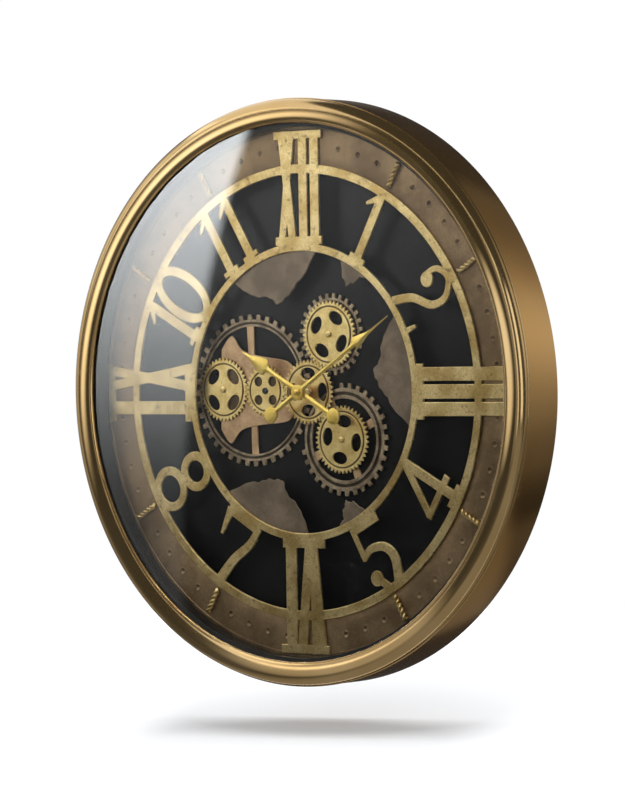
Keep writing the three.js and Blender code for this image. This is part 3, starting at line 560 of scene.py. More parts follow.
bridgeBronze = agedMetal("bridgeBronze", {
    "tones": [tint(182, 148, 112), tint(214, 178, 136), tint(100, 74, 50)],
    "metallic": 0.85, "roughness": 0.34, "roughSpread": 0.12, "bump": 0.3, "bumpDepth": 0.4 * mm,
    "cloudScale": 60.0, "grainScale": 500.0, "grainTone": 0.3,
    "speckScale": 240.0, "speckRange": (0.58, 0.75), "speckTone": 0.5,
    # painted shade on the bridge plate and spokes under the brass gears
    "paintedShade": [(leftAxis, -1, 32), (idlerAxis, -1, 25), (upperAxis, -1, 34), (lowerAxis, -1, 34)],
    "paintedShadeTone": tint(38, 28, 20),
})
chapterBronze = agedMetal("chapterBronze", {
    "tones": [tint(114, 91, 63), tint(148, 122, 89), tint(60, 46, 29)],
    "metallic": 0.75, "roughness": 0.32, "roughSpread": 0.14, "bump": 0.25, "bumpDepth": 0.4 * mm,
    "cloudScale": 24.0, "grainScale": 480.0, "grainTone": 0.3,
    "speckScale": 200.0, "speckRange": (0.6, 0.76), "speckTone": 0.5,
})
leafBronze = agedMetal("leafBronze", {
    "tones": [tint(104, 90, 74), tint(134, 117, 97), tint(74, 60, 46)],
    "metallic": 0.75, "roughness": 0.34, "roughSpread": 0.14, "bump": 0.25, "bumpDepth": 0.4 * mm,
    "cloudScale": 40.0, "grainScale": 460.0, "grainTone": 0.3,
    "speckScale": 220.0, "speckRange": (0.6, 0.76), "speckTone": 0.45,
})
handGold = agedMetal("handGold", {
    "tones": [tint(226, 190, 92), tint(244, 214, 120), tint(150, 116, 44)],
    "metallic": 1.0, "roughness": 0.3, "roughSpread": 0.1, "bump": 0.12, "bumpDepth": 0.3 * mm,
    "cloudScale": 60.0, "grainScale": 900.0, "grainTone": 0.18,
    "speckScale": 320.0, "speckRange": (0.64, 0.8), "speckTone": 0.3,
})
zincSteel = agedMetal("zincSteel", {
    "tones": [tint(158, 158, 152), tint(190, 190, 184), tint(96, 94, 88)],
    "metallic": 1.0, "roughness": 0.3, "roughSpread": 0.14, "bump": 0.15, "bumpDepth": 0.3 * mm,
    "cloudScale": 90.0, "grainScale": 520.0, "grainTone": 0.2,
    "speckScale": 300.0, "speckRange": (0.62, 0.8), "speckTone": 0.35,
})
cellJacket = agedMetal("cellJacket", {
    "tones": [tint(96, 100, 106), tint(128, 132, 138), tint(60, 62, 66)],
    "metallic": 0.6, "roughness": 0.28, "roughSpread": 0.1, "bump": 0.06, "bumpDepth": 0.2 * mm,
    "cloudScale": 50.0, "grainScale": 700.0, "grainTone": 0.15,
    "speckScale": 280.0, "speckRange": (0.66, 0.82), "speckTone": 0.3,
})
blackGloss = smoothSkin("blackGloss", {
    "tones": [tint(18, 18, 18), tint(26, 26, 25)],
    "gloss": 0.13, "roughness": 0.2, "roughSpread": 0.06, "bump": 0.03,
    "cloudScale": 9.0, "grainScale": 160.0,
})
blackRubber = smoothSkin("blackRubber", {
    "tones": [tint(24, 23, 22), tint(36, 35, 33)],
    "gloss": 0.3, "roughness": 0.7, "roughSpread": 0.2, "bump": 0.3,
    "cloudScale": 60.0, "grainScale": 900.0,
})
blackPlastic = smoothSkin("blackPlastic", {
    "tones": [tint(26, 26, 28), tint(38, 38, 40)],
    "gloss": 0.45, "roughness": 0.42, "roughSpread": 0.2, "bump": 0.35,
    "cloudScale": 50.0, "grainScale": 1400.0,
})
whitePlastic = smoothSkin("whitePlastic", {
    "tones": [tint(204, 202, 192), tint(222, 220, 212)],
    "gloss": 0.45, "roughness": 0.4, "roughSpread": 0.15, "bump": 0.2,
    "cloudScale": 50.0, "grainScale": 1200.0,
})
clearGlass = glassFinish("clearGlass", {
    "index": 1.28,  # below window glass, so that the board stays dark behind it
    "tone": (0.97, 0.985, 0.98, 1),
    "smearScale": 14.0,
    "smearRough": 0.012,
})
print("finishes made:", len(bpy.data.materials))


# Drum case

drumShape = {
    "wall": 1.5 * mm,
    "rearFlange": 13 * mm,
    "frontFlange": 13 * mm,
    "edge": 1.0 * mm,
    "lipEdge": 0.5 * mm,
    "grow": 1.2 * mm,  # past the solid's radius
    "settle": 3.0 * mm,  # nearer the wall than the solid's front
    "segments": 256,
}
drum = measure("case_drum")


def drumShell():
    out, inner = drum["radius"] + drumShape["grow"], drum["radius"] - drumShape["wall"]
    rear, front = drum["rear"], drum["front"] - drumShape["settle"]
    wall, edge, lipEdge = drumShape["wall"], drumShape["edge"], drumShape["lipEdge"]
    rearLip, frontLip = out - drumShape["rearFlange"], out - drumShape["frontFlange"]
    section = softProfile([
        (out, rear, edge),
        (out, front, edge),
        (frontLip, front, lipEdge),
        (frontLip, front - wall, lipEdge),
        (inner, front - wall, edge),
        (inner, rear + wall, edge),
        (rearLip, rear + wall, lipEdge),
        (rearLip, rear, lipEdge),
    ])
    return turned(section, drumShape["segments"])


addPiece("drumCase", drumShell(), "case", "case_gilt", caseGilt, "case_drum")

# Bezel, glass, gasket and shroud

bezelShape = {
    "width": 25 * mm,
    "grow": 0.7 * mm,  # past the solid's radius
    "settle": 3.0 * mm,  # nearer the wall than the solid
    "crest": 12.5 * mm,
    "rimHeight": 2.0 * mm,
    "rimStep": 0.9 * mm,
    "edge": 0.8 * mm,
    "lip": 8 * mm,
    "lipLift": 2.5 * mm,
    "lipEdge": 0.9 * mm,
    "wall": 1.5 * mm,
    "domeSteps": 36,
    "segments": 256,
}
bezel = measure("front_bezel")
openingRadius = bezel["radius"] - bezelShape["width"]


def bezelShell():
    out, seat = bezel["radius"] + bezelShape["grow"], bezel["rear"] - bezelShape["settle"]
    front = bezel["front"] - bezelShape["settle"]
    crest = out - bezelShape["crest"]
    rimTop = seat + bezelShape["rimHeight"]
    lip = bezel["rear"] + bezelShape["lipLift"]
    lipTop = lip + bezelShape["lipEdge"]
    wall = bezelShape["wall"]
    outerHalf, innerHalf = bezelShape["crest"] - bezelShape["rimStep"], crest - openingRadius

    # One smooth dome from the rim over the crest to the lip
    def dome(inset, steps):
        line = []
        for i in range(steps + 1):
            angle = i / steps * fullTurn / 2
            across, foot = (outerHalf, rimTop) if i * 2 < steps else (innerHalf, lipTop)
            radius = crest + (across - inset) * math.cos(angle)
            line.append(Vector((radius, foot + (front - foot - inset) * math.sin(angle))))
        return line

    rim = softProfile([
        (out, seat, 0),
        (out, rimTop, bezelShape["edge"]),
        (out - bezelShape["rimStep"], rimTop, 0),
    ], closed=False)
    inside = [
        Vector((openingRadius, lip)),
        Vector((openingRadius + bezelShape["lip"], lip)),
        Vector((openingRadius + bezelShape["lip"], lipTop)),
    ]
    under = [Vector((out - wall, rimTop)), Vector((out - wall, seat))]
    steps = bezelShape["domeSteps"]
    section = rim[:-1] + dome(0, steps) + inside + dome(wall, steps // 2)[::-1] + under
    return turned(section, bezelShape["segments"])


addPiece("bezelRing", bezelShell(), "case", "bezel_gilt", bezelGilt, "front_bezel")

glassShape = {"edge": 0.6 * mm, "segments": 192}
glass = measure("glass_lens")


def discShell(size, edge, segments, center=(0, 0)):
    radius, rear, front = size["radius"], size["rear"], size["front"]
    flat = radius - 3 * edge  # a ring close to the rim keeps the faces truly flat
    corners = [
        (0, rear, 0),
        (flat, rear, 0),
        (radius, rear, edge),
        (radius, front, edge),
        (flat, front, 0),
        (0, front, 0),
    ]
    return turned(softProfile(corners, closed=False), segments, center)


glassPane = addPiece("glassPane", discShell(glass, glassShape["edge"], glassShape["segments"]),
                     "case", "glass", clearGlass, "glass_lens")
glassPane.visible_shadow = False

ringShape = {"gasketInner": 271.5 * mm, "shroudWall": 2 * mm, "edge": 0.3 * mm, "segments": 192}


def bandShell(size, inner, edge, segments):
    outer, rear, front = size["radius"], size["rear"], size["front"]
    corners = [(outer, rear, edge), (outer, front, edge), (inner, front, edge), (inner, rear, edge)]
    return turned(softProfile(corners, 2), segments)


gasket = measure("glass_gasket")
shroud = measure("inner_shroud")
gasketShell = bandShell(gasket, ringShape["gasketInner"], ringShape["edge"], ringShape["segments"])
addPiece("gasketRing", gasketShell, "case", "black_rubber", blackRubber, "glass_gasket")
shroudInner = shroud["radius"] - ringShape["shroudWall"]
shroudShell = bandShell(shroud, shroudInner, ringShape["edge"], ringShape["segments"])
addPiece("shroudWall", shroudShell, "case", "black_lacquer", blackGloss, "inner_shroud")
print("case and glass made")

# Back board

boardShape = {
    "edge": 0.3 * mm,
    "segments": 192,
    "pinHole": 2.7 * mm,
    "bushHole": 4.6 * mm,
    "holeSides": 24,
}
board = measure("back_board")


def boardShell():
    sides = boardShape["holeSides"]
    pinned = (upperAxis, lowerAxis, largeAxis, leftAxis)
    pins = [circle(boardShape["pinHole"], sides, axis) for axis in pinned]
    bush = circle(boardShape["bushHole"], sides)
    outline = circle(board["radius"], boardShape["segments"])
    return plate([outline], [bush, *pins], board["rear"], board["front"], boardShape["edge"])


addPiece("backBoard", boardShell(), "case", "black_lacquer", blackGloss, "back_board")

# Numeral dial: two rings joined by the figures; u runs clockwise in mm and h is the share of the way outwards

dialShape = {
    "outerRing": (224 * mm, 233.4 * mm),
    "innerRing": (144.5 * mm, 152.7 * mm),
    "reach": 270 * mm,
    "serif": 9 * mm,
    "romanHalf": 32 * mm,
    "romanFoot": -0.08,
    "edge": 0.7 * mm,
    "rearEdge": 0.2 * mm,
    "ringSides": 240,
    "loopSides": 48,
    "ballSides": 24,
    "curveSteps": 9,
}
dial = measure("numeral_dial")
figureFoot = dialShape["innerRing"][1]
figureSpan = dialShape["outerRing"][0] - figureFoot
romanTop = math.sqrt(dialShape["reach"] ** 2 - dialShape["romanHalf"] ** 2)
romanTip = (romanTop - figureFoot) / figureSpan


def dialPoint(place):
    return Vector((place[0] * mm, figureFoot + place[1] * figureSpan))


def bar(start, end, widthStart, widthEnd=None):
    a, b = dialPoint(start), dialPoint(end)
    run = (b - a).normalized()
    side = Vector((run.y, -run.x)) * mm / 2
    wide, narrow = side * widthStart, side * (widthEnd or widthStart)
    return [a - wide, a + wide, b + narrow, b - narrow]


def sweep(points, widthStart, widthEnd):
    line = smoothCurve([dialPoint(p) for p in points], dialShape["curveSteps"])
    right, left = [], []
    for i, here in enumerate(line):
        run = (line[min(i + 1, len(line) - 1)] - line[max(i - 1, 0)]).normalized()
        share = i / (len(line) - 1)
        half = Vector((run.y, -run.x)) * (widthStart + (widthEnd - widthStart) * share) * mm / 2
        right.append(here + half)
        left.append(here - half)
    return right + left[::-1]


def ball(place, radius):
    return circle(radius * mm, dialShape["ballSides"], dialPoint(place))


# A loop is its outline and its hole
def loop(u, low, high, holeHalf, stroke):
    middle = dialPoint((u, (low + high) / 2))
    half = (high - low) / 2 * figureSpan
    outside = ellipse((holeHalf + stroke) * mm, half, dialShape["loopSides"], middle)
    return outside, ellipse(holeHalf * mm, half - stroke * mm, dialShape["loopSides"], middle)


def romanBar(u, width):
    return bar((u, dialShape["romanFoot"]), (u, romanTip), width)


def romanSlant(footU, tipU, footWidth, tipWidth):
    return bar((footU, dialShape["romanFoot"]), (tipU, romanTip), footWidth, tipWidth)


def serifs(footHalf, tipHalf):
    half = dialShape["serif"] / 2 / figureSpan
    deep = dialShape["serif"] / mm
    return [
        bar((-footHalf, half / 2), (footHalf, half / 2), deep),
        bar((-tipHalf, romanTip - half), (tipHalf, romanTip - half), deep),
    ]


def figureOne(u):
    return [
        bar((u + 2, -0.05), (u, 1.04), 10.5),
        bar((u - 1, 0.98), (u - 14.5, 0.8), 8, 3.5),
        bar((u - 9, 0.03), (u + 12, 0.03), 6),
    ]


figureTwo = [(-19, 0.62), (-17, 0.88), (-2, 0.99), (13, 0.82), (11, 0.55), (-8, 0.3), (-18, -0.03)]
figureFive = [(17, 0.47), (2, 0.41), (-14, 0.5), (-20, 0.72), (-13, 1.03)]
figureSeven = [(-18, 0), (-15, 0.3), (-4, 0.64), (3, 1.05)]
eightLow = loop(2, -0.075, 0.5, 11.5, 9.5)
eightHigh = loop(3.5, 0.46, 1.09, 14.5, 9.5)
tenLoop = loop(9, -0.066, 1.126, 14, 10.5)
wideRoman = dialShape["romanHalf"] / mm
figures = {
    12: [*serifs(31, wideRoman), romanSlant(-7, -21.5, 10, 11), romanSlant(-23, -8.5, 9.5, 9),
         romanBar(6.5, 11.5), romanBar(21.8, 12)],
    1: figureOne(-3),
    2: [ball((-14, 0.66), 8), sweep(figureTwo, 6, 9.5), bar((17, -0.03), (18.5, 0.15), 7, 4)],
    3: [*serifs(28, 28), romanBar(-17.5, 14), romanBar(0, 14.4), romanBar(17.5, 14)],
    4: [bar((-5, -0.05), (-8, 1.05), 10.5), bar((-3, 0.02), (25, 0.74), 8),
        bar((-21, 0.73), (28, 0.73), 8), bar((-20, 0.97), (5, 0.97), 6)],
    5: [bar((15, 0.04), (-21, 0.04), 9, 12), bar((14.5, 0), (15, 0.5), 6.5), sweep(figureFive, 7, 12),
        ball((11, 0.82), 8), bar((9, 0.84), (2, 1.04), 7, 10)],
    6: [*serifs(28, wideRoman), romanBar(17.2, 14.4), romanSlant(-8, 4, 11, 13),
        romanSlant(-11.5, -19.5, 10, 19)],
    7: [bar((-20, 0.03), (27, 0.03), 9), bar((24.5, 0), (23.5, 0.42), 10, 3.5), sweep(figureSeven, 8, 12)],
    8: [eightLow[0], eightHigh[0]],
    9: [*serifs(30, 30), romanBar(-15.5, 14), romanSlant(6, 25, 11, 10), romanSlant(26, 7, 11, 10)],
    10: [*figureOne(-22.5), tenLoop[0]],
    11: [*figureOne(-18.5), *figureOne(12.5)],
}
figureHoles = {8: [eightLow[1], eightHigh[1]], 10: [tenLoop[1]]}


def turnFigure(outline, hour):
    spin = Matrix.Rotation(-hour / 12 * fullTurn, 2)
    return [spin @ point for point in outline]


def dialShell():
    # each ring is made of short bars, so that no outline holds the open field between the rings
    sides = dialShape["ringSides"]
    solids = []
    for ring in ("outerRing", "innerRing"):
        small, big = [circle(radius, sides) for radius in dialShape[ring]]
        for i in range(sides):
            j = (i + 1) % sides
            solids.append([small[i], big[i], big[j], small[j]])
    for hour, strokes in figures.items():
        solids += [turnFigure(stroke, hour) for stroke in strokes]
    holes = [turnFigure(hole, hour) for hour, cut in figureHoles.items() for hole in cut]
    return plate(solids, holes, dial["rear"], dial["front"], dialShape["edge"], dialShape["rearEdge"])


addPiece("numeralDial", dialShell(), "case", "antique_brass", antiqueBrass, "numeral_dial")
print("dial made")


# What repeats is grown by Geometry Nodes: make(tree, wires) ends in the grown geometry, and wires holds
# the carrier's mesh and the sizes by their labels
def growNodes(name, mesh, sizes, finish, make, sharpDegrees=40):
    tree = bpy.data.node_groups.new(name, "GeometryNodeTree")
    tree.interface.new_socket("Geometry", in_out="INPUT", socket_type="NodeSocketGeometry")
    tree.interface.new_socket("Geometry", in_out="OUTPUT", socket_type="NodeSocketGeometry")
    for label, value in sizes.items():
        kind = "NodeSocketInt" if isinstance(value, int) else "NodeSocketFloat"
        tree.interface.new_socket(label, in_out="INPUT", socket_type=kind)
    entry = tree.nodes.new("NodeGroupInput")
    wires = {socket.name: Wire(socket) for socket in entry.outputs if socket.name}
    grown = Wire.node(tree, "GeometryNodeRealizeInstances", {"Geometry": make(tree, wires)})
    dressed = Wire.node(tree, "GeometryNodeSetMaterial", {"Geometry": grown, "Material": finish})
    tree.links.new(dressed.socket, tree.nodes.new("NodeGroupOutput").inputs[0])
    carrier = bpy.data.objects.new(name, mesh)
    bpy.context.scene.collection.objects.link(carrier)
    modifier = carrier.modifiers.new(name, "NODES")
    modifier.node_group = tree
    for socket in tree.interface.items_tree:
        if socket.in_out == "INPUT" and socket.name in sizes:
            modifier[socket.identifier] = sizes[socket.name]
    evaluated = carrier.evaluated_get(bpy.context.evaluated_depsgraph_get())
    result = bpy.data.meshes.new_from_object(evaluated)
    carrier.modifiers.remove(modifier)
    bpy.data.objects.remove(carrier)
    result.shade_smooth()
    result.set_sharp_from_angle(angle=math.radians(sharpDegrees))
    return result


def pointMesh(name, places):
    mesh = bpy.data.meshes.new(name)
    mesh.from_pydata(places, [], [])
    return mesh


def vectorOf(tree, x, y, z):
    return Wire.node(tree, "ShaderNodeCombineXYZ", {0: x, 1: y, 2: z})


# Copies on every point; those that look outward turn about Y until their Z points away from the hands' axis
def scatter(tree, points, shape, outward=False):
    inputs = {"Points": points, "Instance": shape}
    if outward:
        x, _, z = Wire.node(tree, "GeometryNodeInputPosition").axes()
        turn = vectorOf(tree, 0, x.math("ARCTAN2", x, z), 0)
        inputs["Rotation"] = Wire.node(tree, "FunctionNodeEulerToRotation", {0: turn})
    return Wire.node(tree, "GeometryNodeInstanceOnPoints", inputs)


# Chapter ring with a raised line near its rim and a pressed dimple at each plain minute

chapterShape = {
    "inner": 233 * mm,
    "thickness": 1.2 * mm,
    "backing": 0.9 * mm,
    "edge": 0.4 * mm,
    "lineRadius": 269 * mm,
    "lineHalf": 0.8 * mm,
    "lineRise": 0.7 * mm,
    "dimpleRing": 252 * mm,
    "dimpleRadius": 2.9 * mm,
    "dimpleDepth": 1.9 * mm,
    "lipRise": 0.3 * mm,
    "dentFrom": 0.2,  # shares of the dimple's radius, as in the lip's span
    "lipSpan": (0.85, 1.1, 1.5),
    "minutes": 60,
    "hourMinutes": 5.0,
    "fineStep": 0.65 * mm,
    "fineCount": 7,
}
chapter = measure("chapter_ring")
chapterFront = chapter["rear"] + chapterShape["thickness"]


def chapterBase():
    step = fullTurn / chapterShape["minutes"]
    fine, count = chapterShape["fineStep"], chapterShape["fineCount"]
    fineTurn = fine / chapterShape["dimpleRing"]
    angles = []
    for minute in range(chapterShape["minutes"]):
        angles += [minute * step + k * fineTurn for k in range(-count, count + 1)]
        angles.append((minute + 0.5) * step)
    line, half, rise = chapterShape["lineRadius"], chapterShape["lineHalf"], chapterShape["lineRise"]
    edge = chapterShape["edge"]
    section = softProfile([
        (chapterShape["inner"], chapterFront, edge),
        (chapterShape["inner"], chapter["rear"] - chapterShape["backing"], edge),
        (chapter["radius"], chapter["rear"] - chapterShape["backing"], edge),
        (chapter["radius"], chapterFront, edge),
        (line + half, chapterFront, 0),
        (line + half / 2, chapterFront + rise, 0),
        (line - half / 2, chapterFront + rise, 0),
        (line - half, chapterFront, 0),
    ], 2)
    rows = [Vector((chapterShape["dimpleRing"] - k * fine, chapterFront)) for k in range(-count, count + 1)]
    return turned(section + rows, angles=angles)


def pressDimples(tree, wires):
    x, y, z = Wire.node(tree, "GeometryNodeInputPosition").axes()
    radius = x.math("SQRT", x * x + z * z)
    share = x.math("ARCTAN2", x, z) / wires["Minute turn"]
    minute = x.math("ROUND", share)
    along = (share - minute) * wires["Minute turn"] * radius
    across = radius - wires["Ring radius"]
    away = x.math("SQRT", along * along + across * across) / wires["Dimple radius"]
    dent = (1 - away.ease(chapterShape["dentFrom"], 1.0)) * wires["Depth"]
    start, crest, end = chapterShape["lipSpan"]
    lip = away.ease(start, crest) * (1 - away.ease(crest, end)) * wires["Lip"]
    plain = x.math("FLOORED_MODULO", minute, chapterShape["hourMinutes"]) > 0.5
    front = -y > wires["Front"]
    offset = vectorOf(tree, 0, (dent - lip) * plain * front, 0)
    return Wire.node(tree, "GeometryNodeSetPosition", {"Geometry": wires["Geometry"], "Offset": offset})


dimpledRing = growNodes("minuteDimples", meshOf("chapterBase", chapterBase()), {
    "Minute turn": fullTurn / chapterShape["minutes"],
    "Ring radius": chapterShape["dimpleRing"],
    "Dimple radius": chapterShape["dimpleRadius"],
    "Depth": chapterShape["dimpleDepth"],
    "Lip": chapterShape["lipRise"],
    "Front": chapterFront - chapterShape["edge"] / 2,
}, chapterBronze, pressDimples)
addPiece("chapterRing", dimpledRing, "case", "chapter_bronze", chapterBronze, "chapter_ring")

# Twisted two-strand marks at the hours that have plain figures

ropeShape = {
    "start": 237.5 * mm,
    "end": 264.5 * mm,
    "sink": 0.7 * mm,
    "strand": 1.6 * mm,
    "offset": 1.4 * mm,
    "turns": 2.5,
    "steps": 44,
    "sides": 10,
    "hours": [1, 2, 4, 5, 7, 8, 10, 11],
}


def twistRope(tree, wires):
    ends = [vectorOf(tree, 0, 0, wires["Half length"] * side) for side in (-1.0, 1.0)]
    line = Wire.node(tree, "GeometryNodeCurvePrimitiveLine", {"Start": ends[0], "End": ends[1]})
    line = Wire.node(tree, "GeometryNodeResampleCurve", {"Curve": line, "Count": wires["Steps"]})
    profile = {"Resolution": wires["Sides"], "Radius": wires["Strand"]}
    section = Wire.node(tree, "GeometryNodeCurvePrimitiveCircle", profile)
    share = Wire.node(tree, "GeometryNodeSplineParameter").out("Factor")
    pair = tree.nodes.new("GeometryNodeJoinGeometry")
    for strand in range(2):
        turn = share * wires["Turns"] * fullTurn + strand * math.pi
        swing = [turn.math(wave, turn) * wires["Offset"] for wave in ("COSINE", "SINE")]
        path = {"Geometry": line, "Offset": vectorOf(tree, swing[0], swing[1], 0)}
        wound = Wire.node(tree, "GeometryNodeSetPosition", path)
        solid = {"Curve": wound, "Profile Curve": section, "Fill Caps": True}
        tree.links.new(Wire.node(tree, "GeometryNodeCurveToMesh", solid).socket, pair.inputs[0])
    return scatter(tree, wires["Geometry"], Wire(pair.outputs[0]), outward=True)


ropeRing = (ropeShape["start"] + ropeShape["end"]) / 2
ropeDepth = chapterFront + ropeShape["strand"] + ropeShape["offset"] - ropeShape["sink"]
ropePlaces = [spot(*polar(ropeRing, hourTurn(hour)), ropeDepth) for hour in ropeShape["hours"]]
ropes = growNodes("twistedMarks", pointMesh("ropePlaces", ropePlaces), {
    "Half length": (ropeShape["end"] - ropeShape["start"]) / 2,
    "Strand": ropeShape["strand"],
    "Offset": ropeShape["offset"],
    "Turns": ropeShape["turns"],
    "Steps": ropeShape["steps"],
    "Sides": ropeShape["sides"],
}, antiqueBrass, twistRope)
addPiece("twistedMarks", ropes, "case", "antique_brass", antiqueBrass, "chapter_ring")

# Ragged leaves behind the inner ring: degrees round the dial from the deepest point, and shares of the reach

leafShape = {
    "under": 5.5 * mm,
    "largeReach": 49 * mm,
    "smallReach": 20 * mm,
    "largeHours": [11.45, 2.66, 6.68],
    "smallHours": [1, 5.16],
    "largeEdge": [(-22, 0), (-18.5, 0.42), (-9, 0.75), (0, 1), (9.8, 0.8), (18, 0.52), (24.5, 0)],
    "smallEdge": [(-8.5, 0), (-5, 0.75), (0, 1), (4, 0.3), (7.5, 0)],
    "steps": 10,
    "edge": 0.9 * mm,
    "swing": 1.3 * mm,
    "waves": 5.0,
    "finerShare": 0.6,
    "finerWaves": 2.3,
    "finerShift": 1,
}


# A wavy line: two sines along it that die out at its ends
def ragged(line):
    swing, waves, finer = leafShape["swing"], leafShape["waves"], leafShape["finerWaves"]
    bent = []
    last = len(line) - 1
    for i, here in enumerate(line):
        share = i / last
        run = (line[min(i + 1, last)] - line[max(i - 1, 0)]).normalized()
        ripple = math.sin(share * waves * finer * fullTurn + leafShape["finerShift"])
        wave = math.sin(share * waves * fullTurn) + leafShape["finerShare"] * ripple
        bent.append(here + Vector((run.y, -run.x)) * swing * wave * math.sin(share * fullTurn / 2))
    return bent


def leafShell(node, hour, reach, edge):
    size = measure(node)
    ring = dialShape["innerRing"][0]

    def turnAt(degrees):
        return hourTurn(hour) - math.radians(degrees)

    tips = [polar(ring - share * reach, turnAt(degrees)) for degrees, share in edge]
    start, end = turnAt(edge[-1][0]), turnAt(edge[0][0])
    steps = leafShape["steps"]
    back = [polar(ring + leafShape["under"], start + (end - start) * i / steps) for i in range(steps + 1)]
    outline = ragged(smoothCurve(tips, steps)) + back
    return plate([outline], [], size["rear"], size["front"], leafShape["edge"])


for size in ("large", "small"):
    for i, hour in enumerate(leafShape[size + "Hours"]):
        node = f"{size}_leaf_{i + 1}"
        shell = leafShell(node, hour, leafShape[size + "Reach"], leafShape[size + "Edge"])
        addPiece(f"{size}Leaf{i + 1}", shell, "case", "leaf_bronze", leafBronze, node)
print("chapter ring and leaves made")

# Fixed ring gears: a toothed band and a raised inner band with a groove between them, on lighter spokes.
# The three rings are in mm and degrees, and the lower one has a stretch without teeth.

ringGearShape = {
    "hub": 9 * mm,
    "boss": 8 * mm,
    "bossEdge": 0.2 * mm,
    "bore": 2.7 * mm,
    "pinHole": 3.2 * mm,
    "bushHole": 7.8 * mm,
    "holeSides": 24,
    "bushSides": 32,
    "hubSides": 40,
    "spokes": 4,
    "spokeWidth": 9.5 * mm,
    "spokeWaist": 0.86,
    "spokeThickness": 1.6 * mm,
    "spokeDrop": 0.25 * mm,
    "spokeGrip": 0.6,
    "toothRoot": 0.27,
    "toothTip": 0.2,
    "thickness": 2 * mm,
    "grooveDepth": 1.1 * mm,
    "overlap": 0.1 * mm,
    "edge": 0.4 * mm,
    "largeRing": {"teeth": 40, "tip": 79, "root": 73.6, "inner": 66.5, "groove": (68.6, 71.2), "turn": 2},
    "upperRing": {"teeth": 28, "tip": 42, "root": 37.4, "inner": 30.5, "groove": (32.3, 34.6), "turn": 20},
    "lowerRing": {"teeth": 32, "tip": 57.8, "root": 52.8, "inner": 42, "groove": (45.6, 49), "turn": 25,
                  "bare": (98, 188)},
}


def ringGearOutline(sizes, axis):
    turn, step = math.radians(sizes["turn"]), fullTurn / sizes["teeth"]
    bareFrom, bareTo = [math.radians(a) for a in sizes.get("bare", (0, 0))]
    rootHalf, tipHalf = step * ringGearShape["toothRoot"], step * ringGearShape["toothTip"]
    root, tip = sizes["root"] * mm, sizes["tip"] * mm
    outline = []
    for i in range(sizes["teeth"]):
        middle = turn + i * step
        if bareFrom < middle % fullTurn < bareTo:
            outline += [polar(root, middle + k * step / 3, axis) for k in (-1, 0, 1)]
            continue
        outline += [
            polar(root, middle - rootHalf, axis),
            polar(tip, middle - tipHalf, axis),
            polar(tip, middle, axis),
            polar(tip, middle + tipHalf, axis),
            polar(root, middle + rootHalf, axis),
            polar(root, middle + step / 2, axis),
        ]
    return outline


def ringGearShell(node, sizes, axis, cuts):
    front, edge = measure(node)["front"], ringGearShape["edge"]
    outline = ringGearOutline(sizes, axis)
    floor = front - ringGearShape["grooveDepth"]
    under = floor - ringGearShape["overlap"]
    sides = 3 * sizes["teeth"]
    inner = circle(sizes["inner"] * mm, sides, axis)
    grooveIn, grooveOut = [circle(radius * mm, sides, axis) for radius in sizes["groove"]]
    return joinShells(
        plate([outline], [inner, *cuts], front - ringGearShape["thickness"], floor, edge / 2),
        plate([outline], [grooveOut, *cuts], under, front, edge),
        plate([grooveIn], [inner, *cuts], under, front, edge),
    )


def spokeShell(node, sizes, axis, cuts):
    size = measure(node)
    front = size["front"] - ringGearShape["spokeDrop"]
    rear = front - ringGearShape["spokeThickness"]
    half = ringGearShape["spokeWidth"] / 2
    waist = half * ringGearShape["spokeWaist"]
    reach = (sizes["inner"] + ringGearShape["spokeGrip"]) * mm
    rim = [(0, -half), (0.5, -waist), (1, -half), (1, half), (0.5, waist), (0, half)]
    bars = []
    for i in range(ringGearShape["spokes"]):
        angle = math.radians(sizes["turn"]) + i * fullTurn / ringGearShape["spokes"]
        along, side = polar(1, angle) * reach, polar(1, angle + fullTurn / 4)
        bars.append([axis + along * share + side * across for share, across in rim])
    holes = [circle(ringGearShape["bore"], ringGearShape["holeSides"], axis), *cuts]
    hub, boss = [circle(ringGearShape[part], ringGearShape["hubSides"], axis) for part in ("hub", "boss")]
    return joinShells(
        plate([hub, *bars], holes, rear, front, ringGearShape["edge"]),
        plate([boss], holes, size["rear"], rear + ringGearShape["overlap"], ringGearShape["bossEdge"]),
    )


pinHole = ringGearShape["pinHole"], ringGearShape["holeSides"]
largeCuts = [circle(*pinHole, leftAxis), circle(*pinHole, idlerAxis)]
largeCuts.append(circle(ringGearShape["bushHole"], ringGearShape["bushSides"], centerAxis))
ringGears = {
    "largeRing": ("large_ring_gear", largeAxis, largeCuts),
    "upperRing": ("upper_ring_gear", upperAxis, []),
    "lowerRing": ("lower_ring_gear", lowerAxis, []),
}
for name, (node, axis, cuts) in ringGears.items():
    sizes = ringGearShape[name]
    addPiece(name + "Gear", ringGearShell(node, sizes, axis, cuts), "case", "dark_bronze", darkBronze, node)
    addPiece(name + "Spokes", spokeShell(node, sizes, axis, cuts), "case", "dark_bronze", bridgeBronze, node)

# Butterfly bridge under the left gears

bridgeShape = {
    "half": [(-42, 42), (-28, 56), (-14, 42), (10, 36), (48, 31), (60, 19)],  # along and across, in mm
    "trainTurn": math.radians(178.5),
    "steps": 10,
    "hole": 2.85 * mm,
    "holeSides": 24,
    "edge": 0.4 * mm,
}
bridge = measure("bridge_plate")


def bridgeShell():
    spin = Matrix.Rotation(bridgeShape["trainTurn"] - math.pi, 2)

    def side(sign):
        points = [spin @ Vector((along, sign * across)) * mm for along, across in bridgeShape["half"]]
        return smoothCurve([point + largeAxis for point in points], bridgeShape["steps"])

    outline = side(1) + side(-1)[::-1]
    holes = [circle(bridgeShape["hole"], bridgeShape["holeSides"], axis) for axis in (leftAxis, idlerAxis)]
    return plate([outline], holes, bridge["rear"], bridge["front"], bridgeShape["edge"])


addPiece("bridgePlate", bridgeShell(), "case", "dark_bronze", bridgeBronze, "bridge_plate")

# Brass train: each gear is a toothed wheel with a groove between its rim and its raised disc

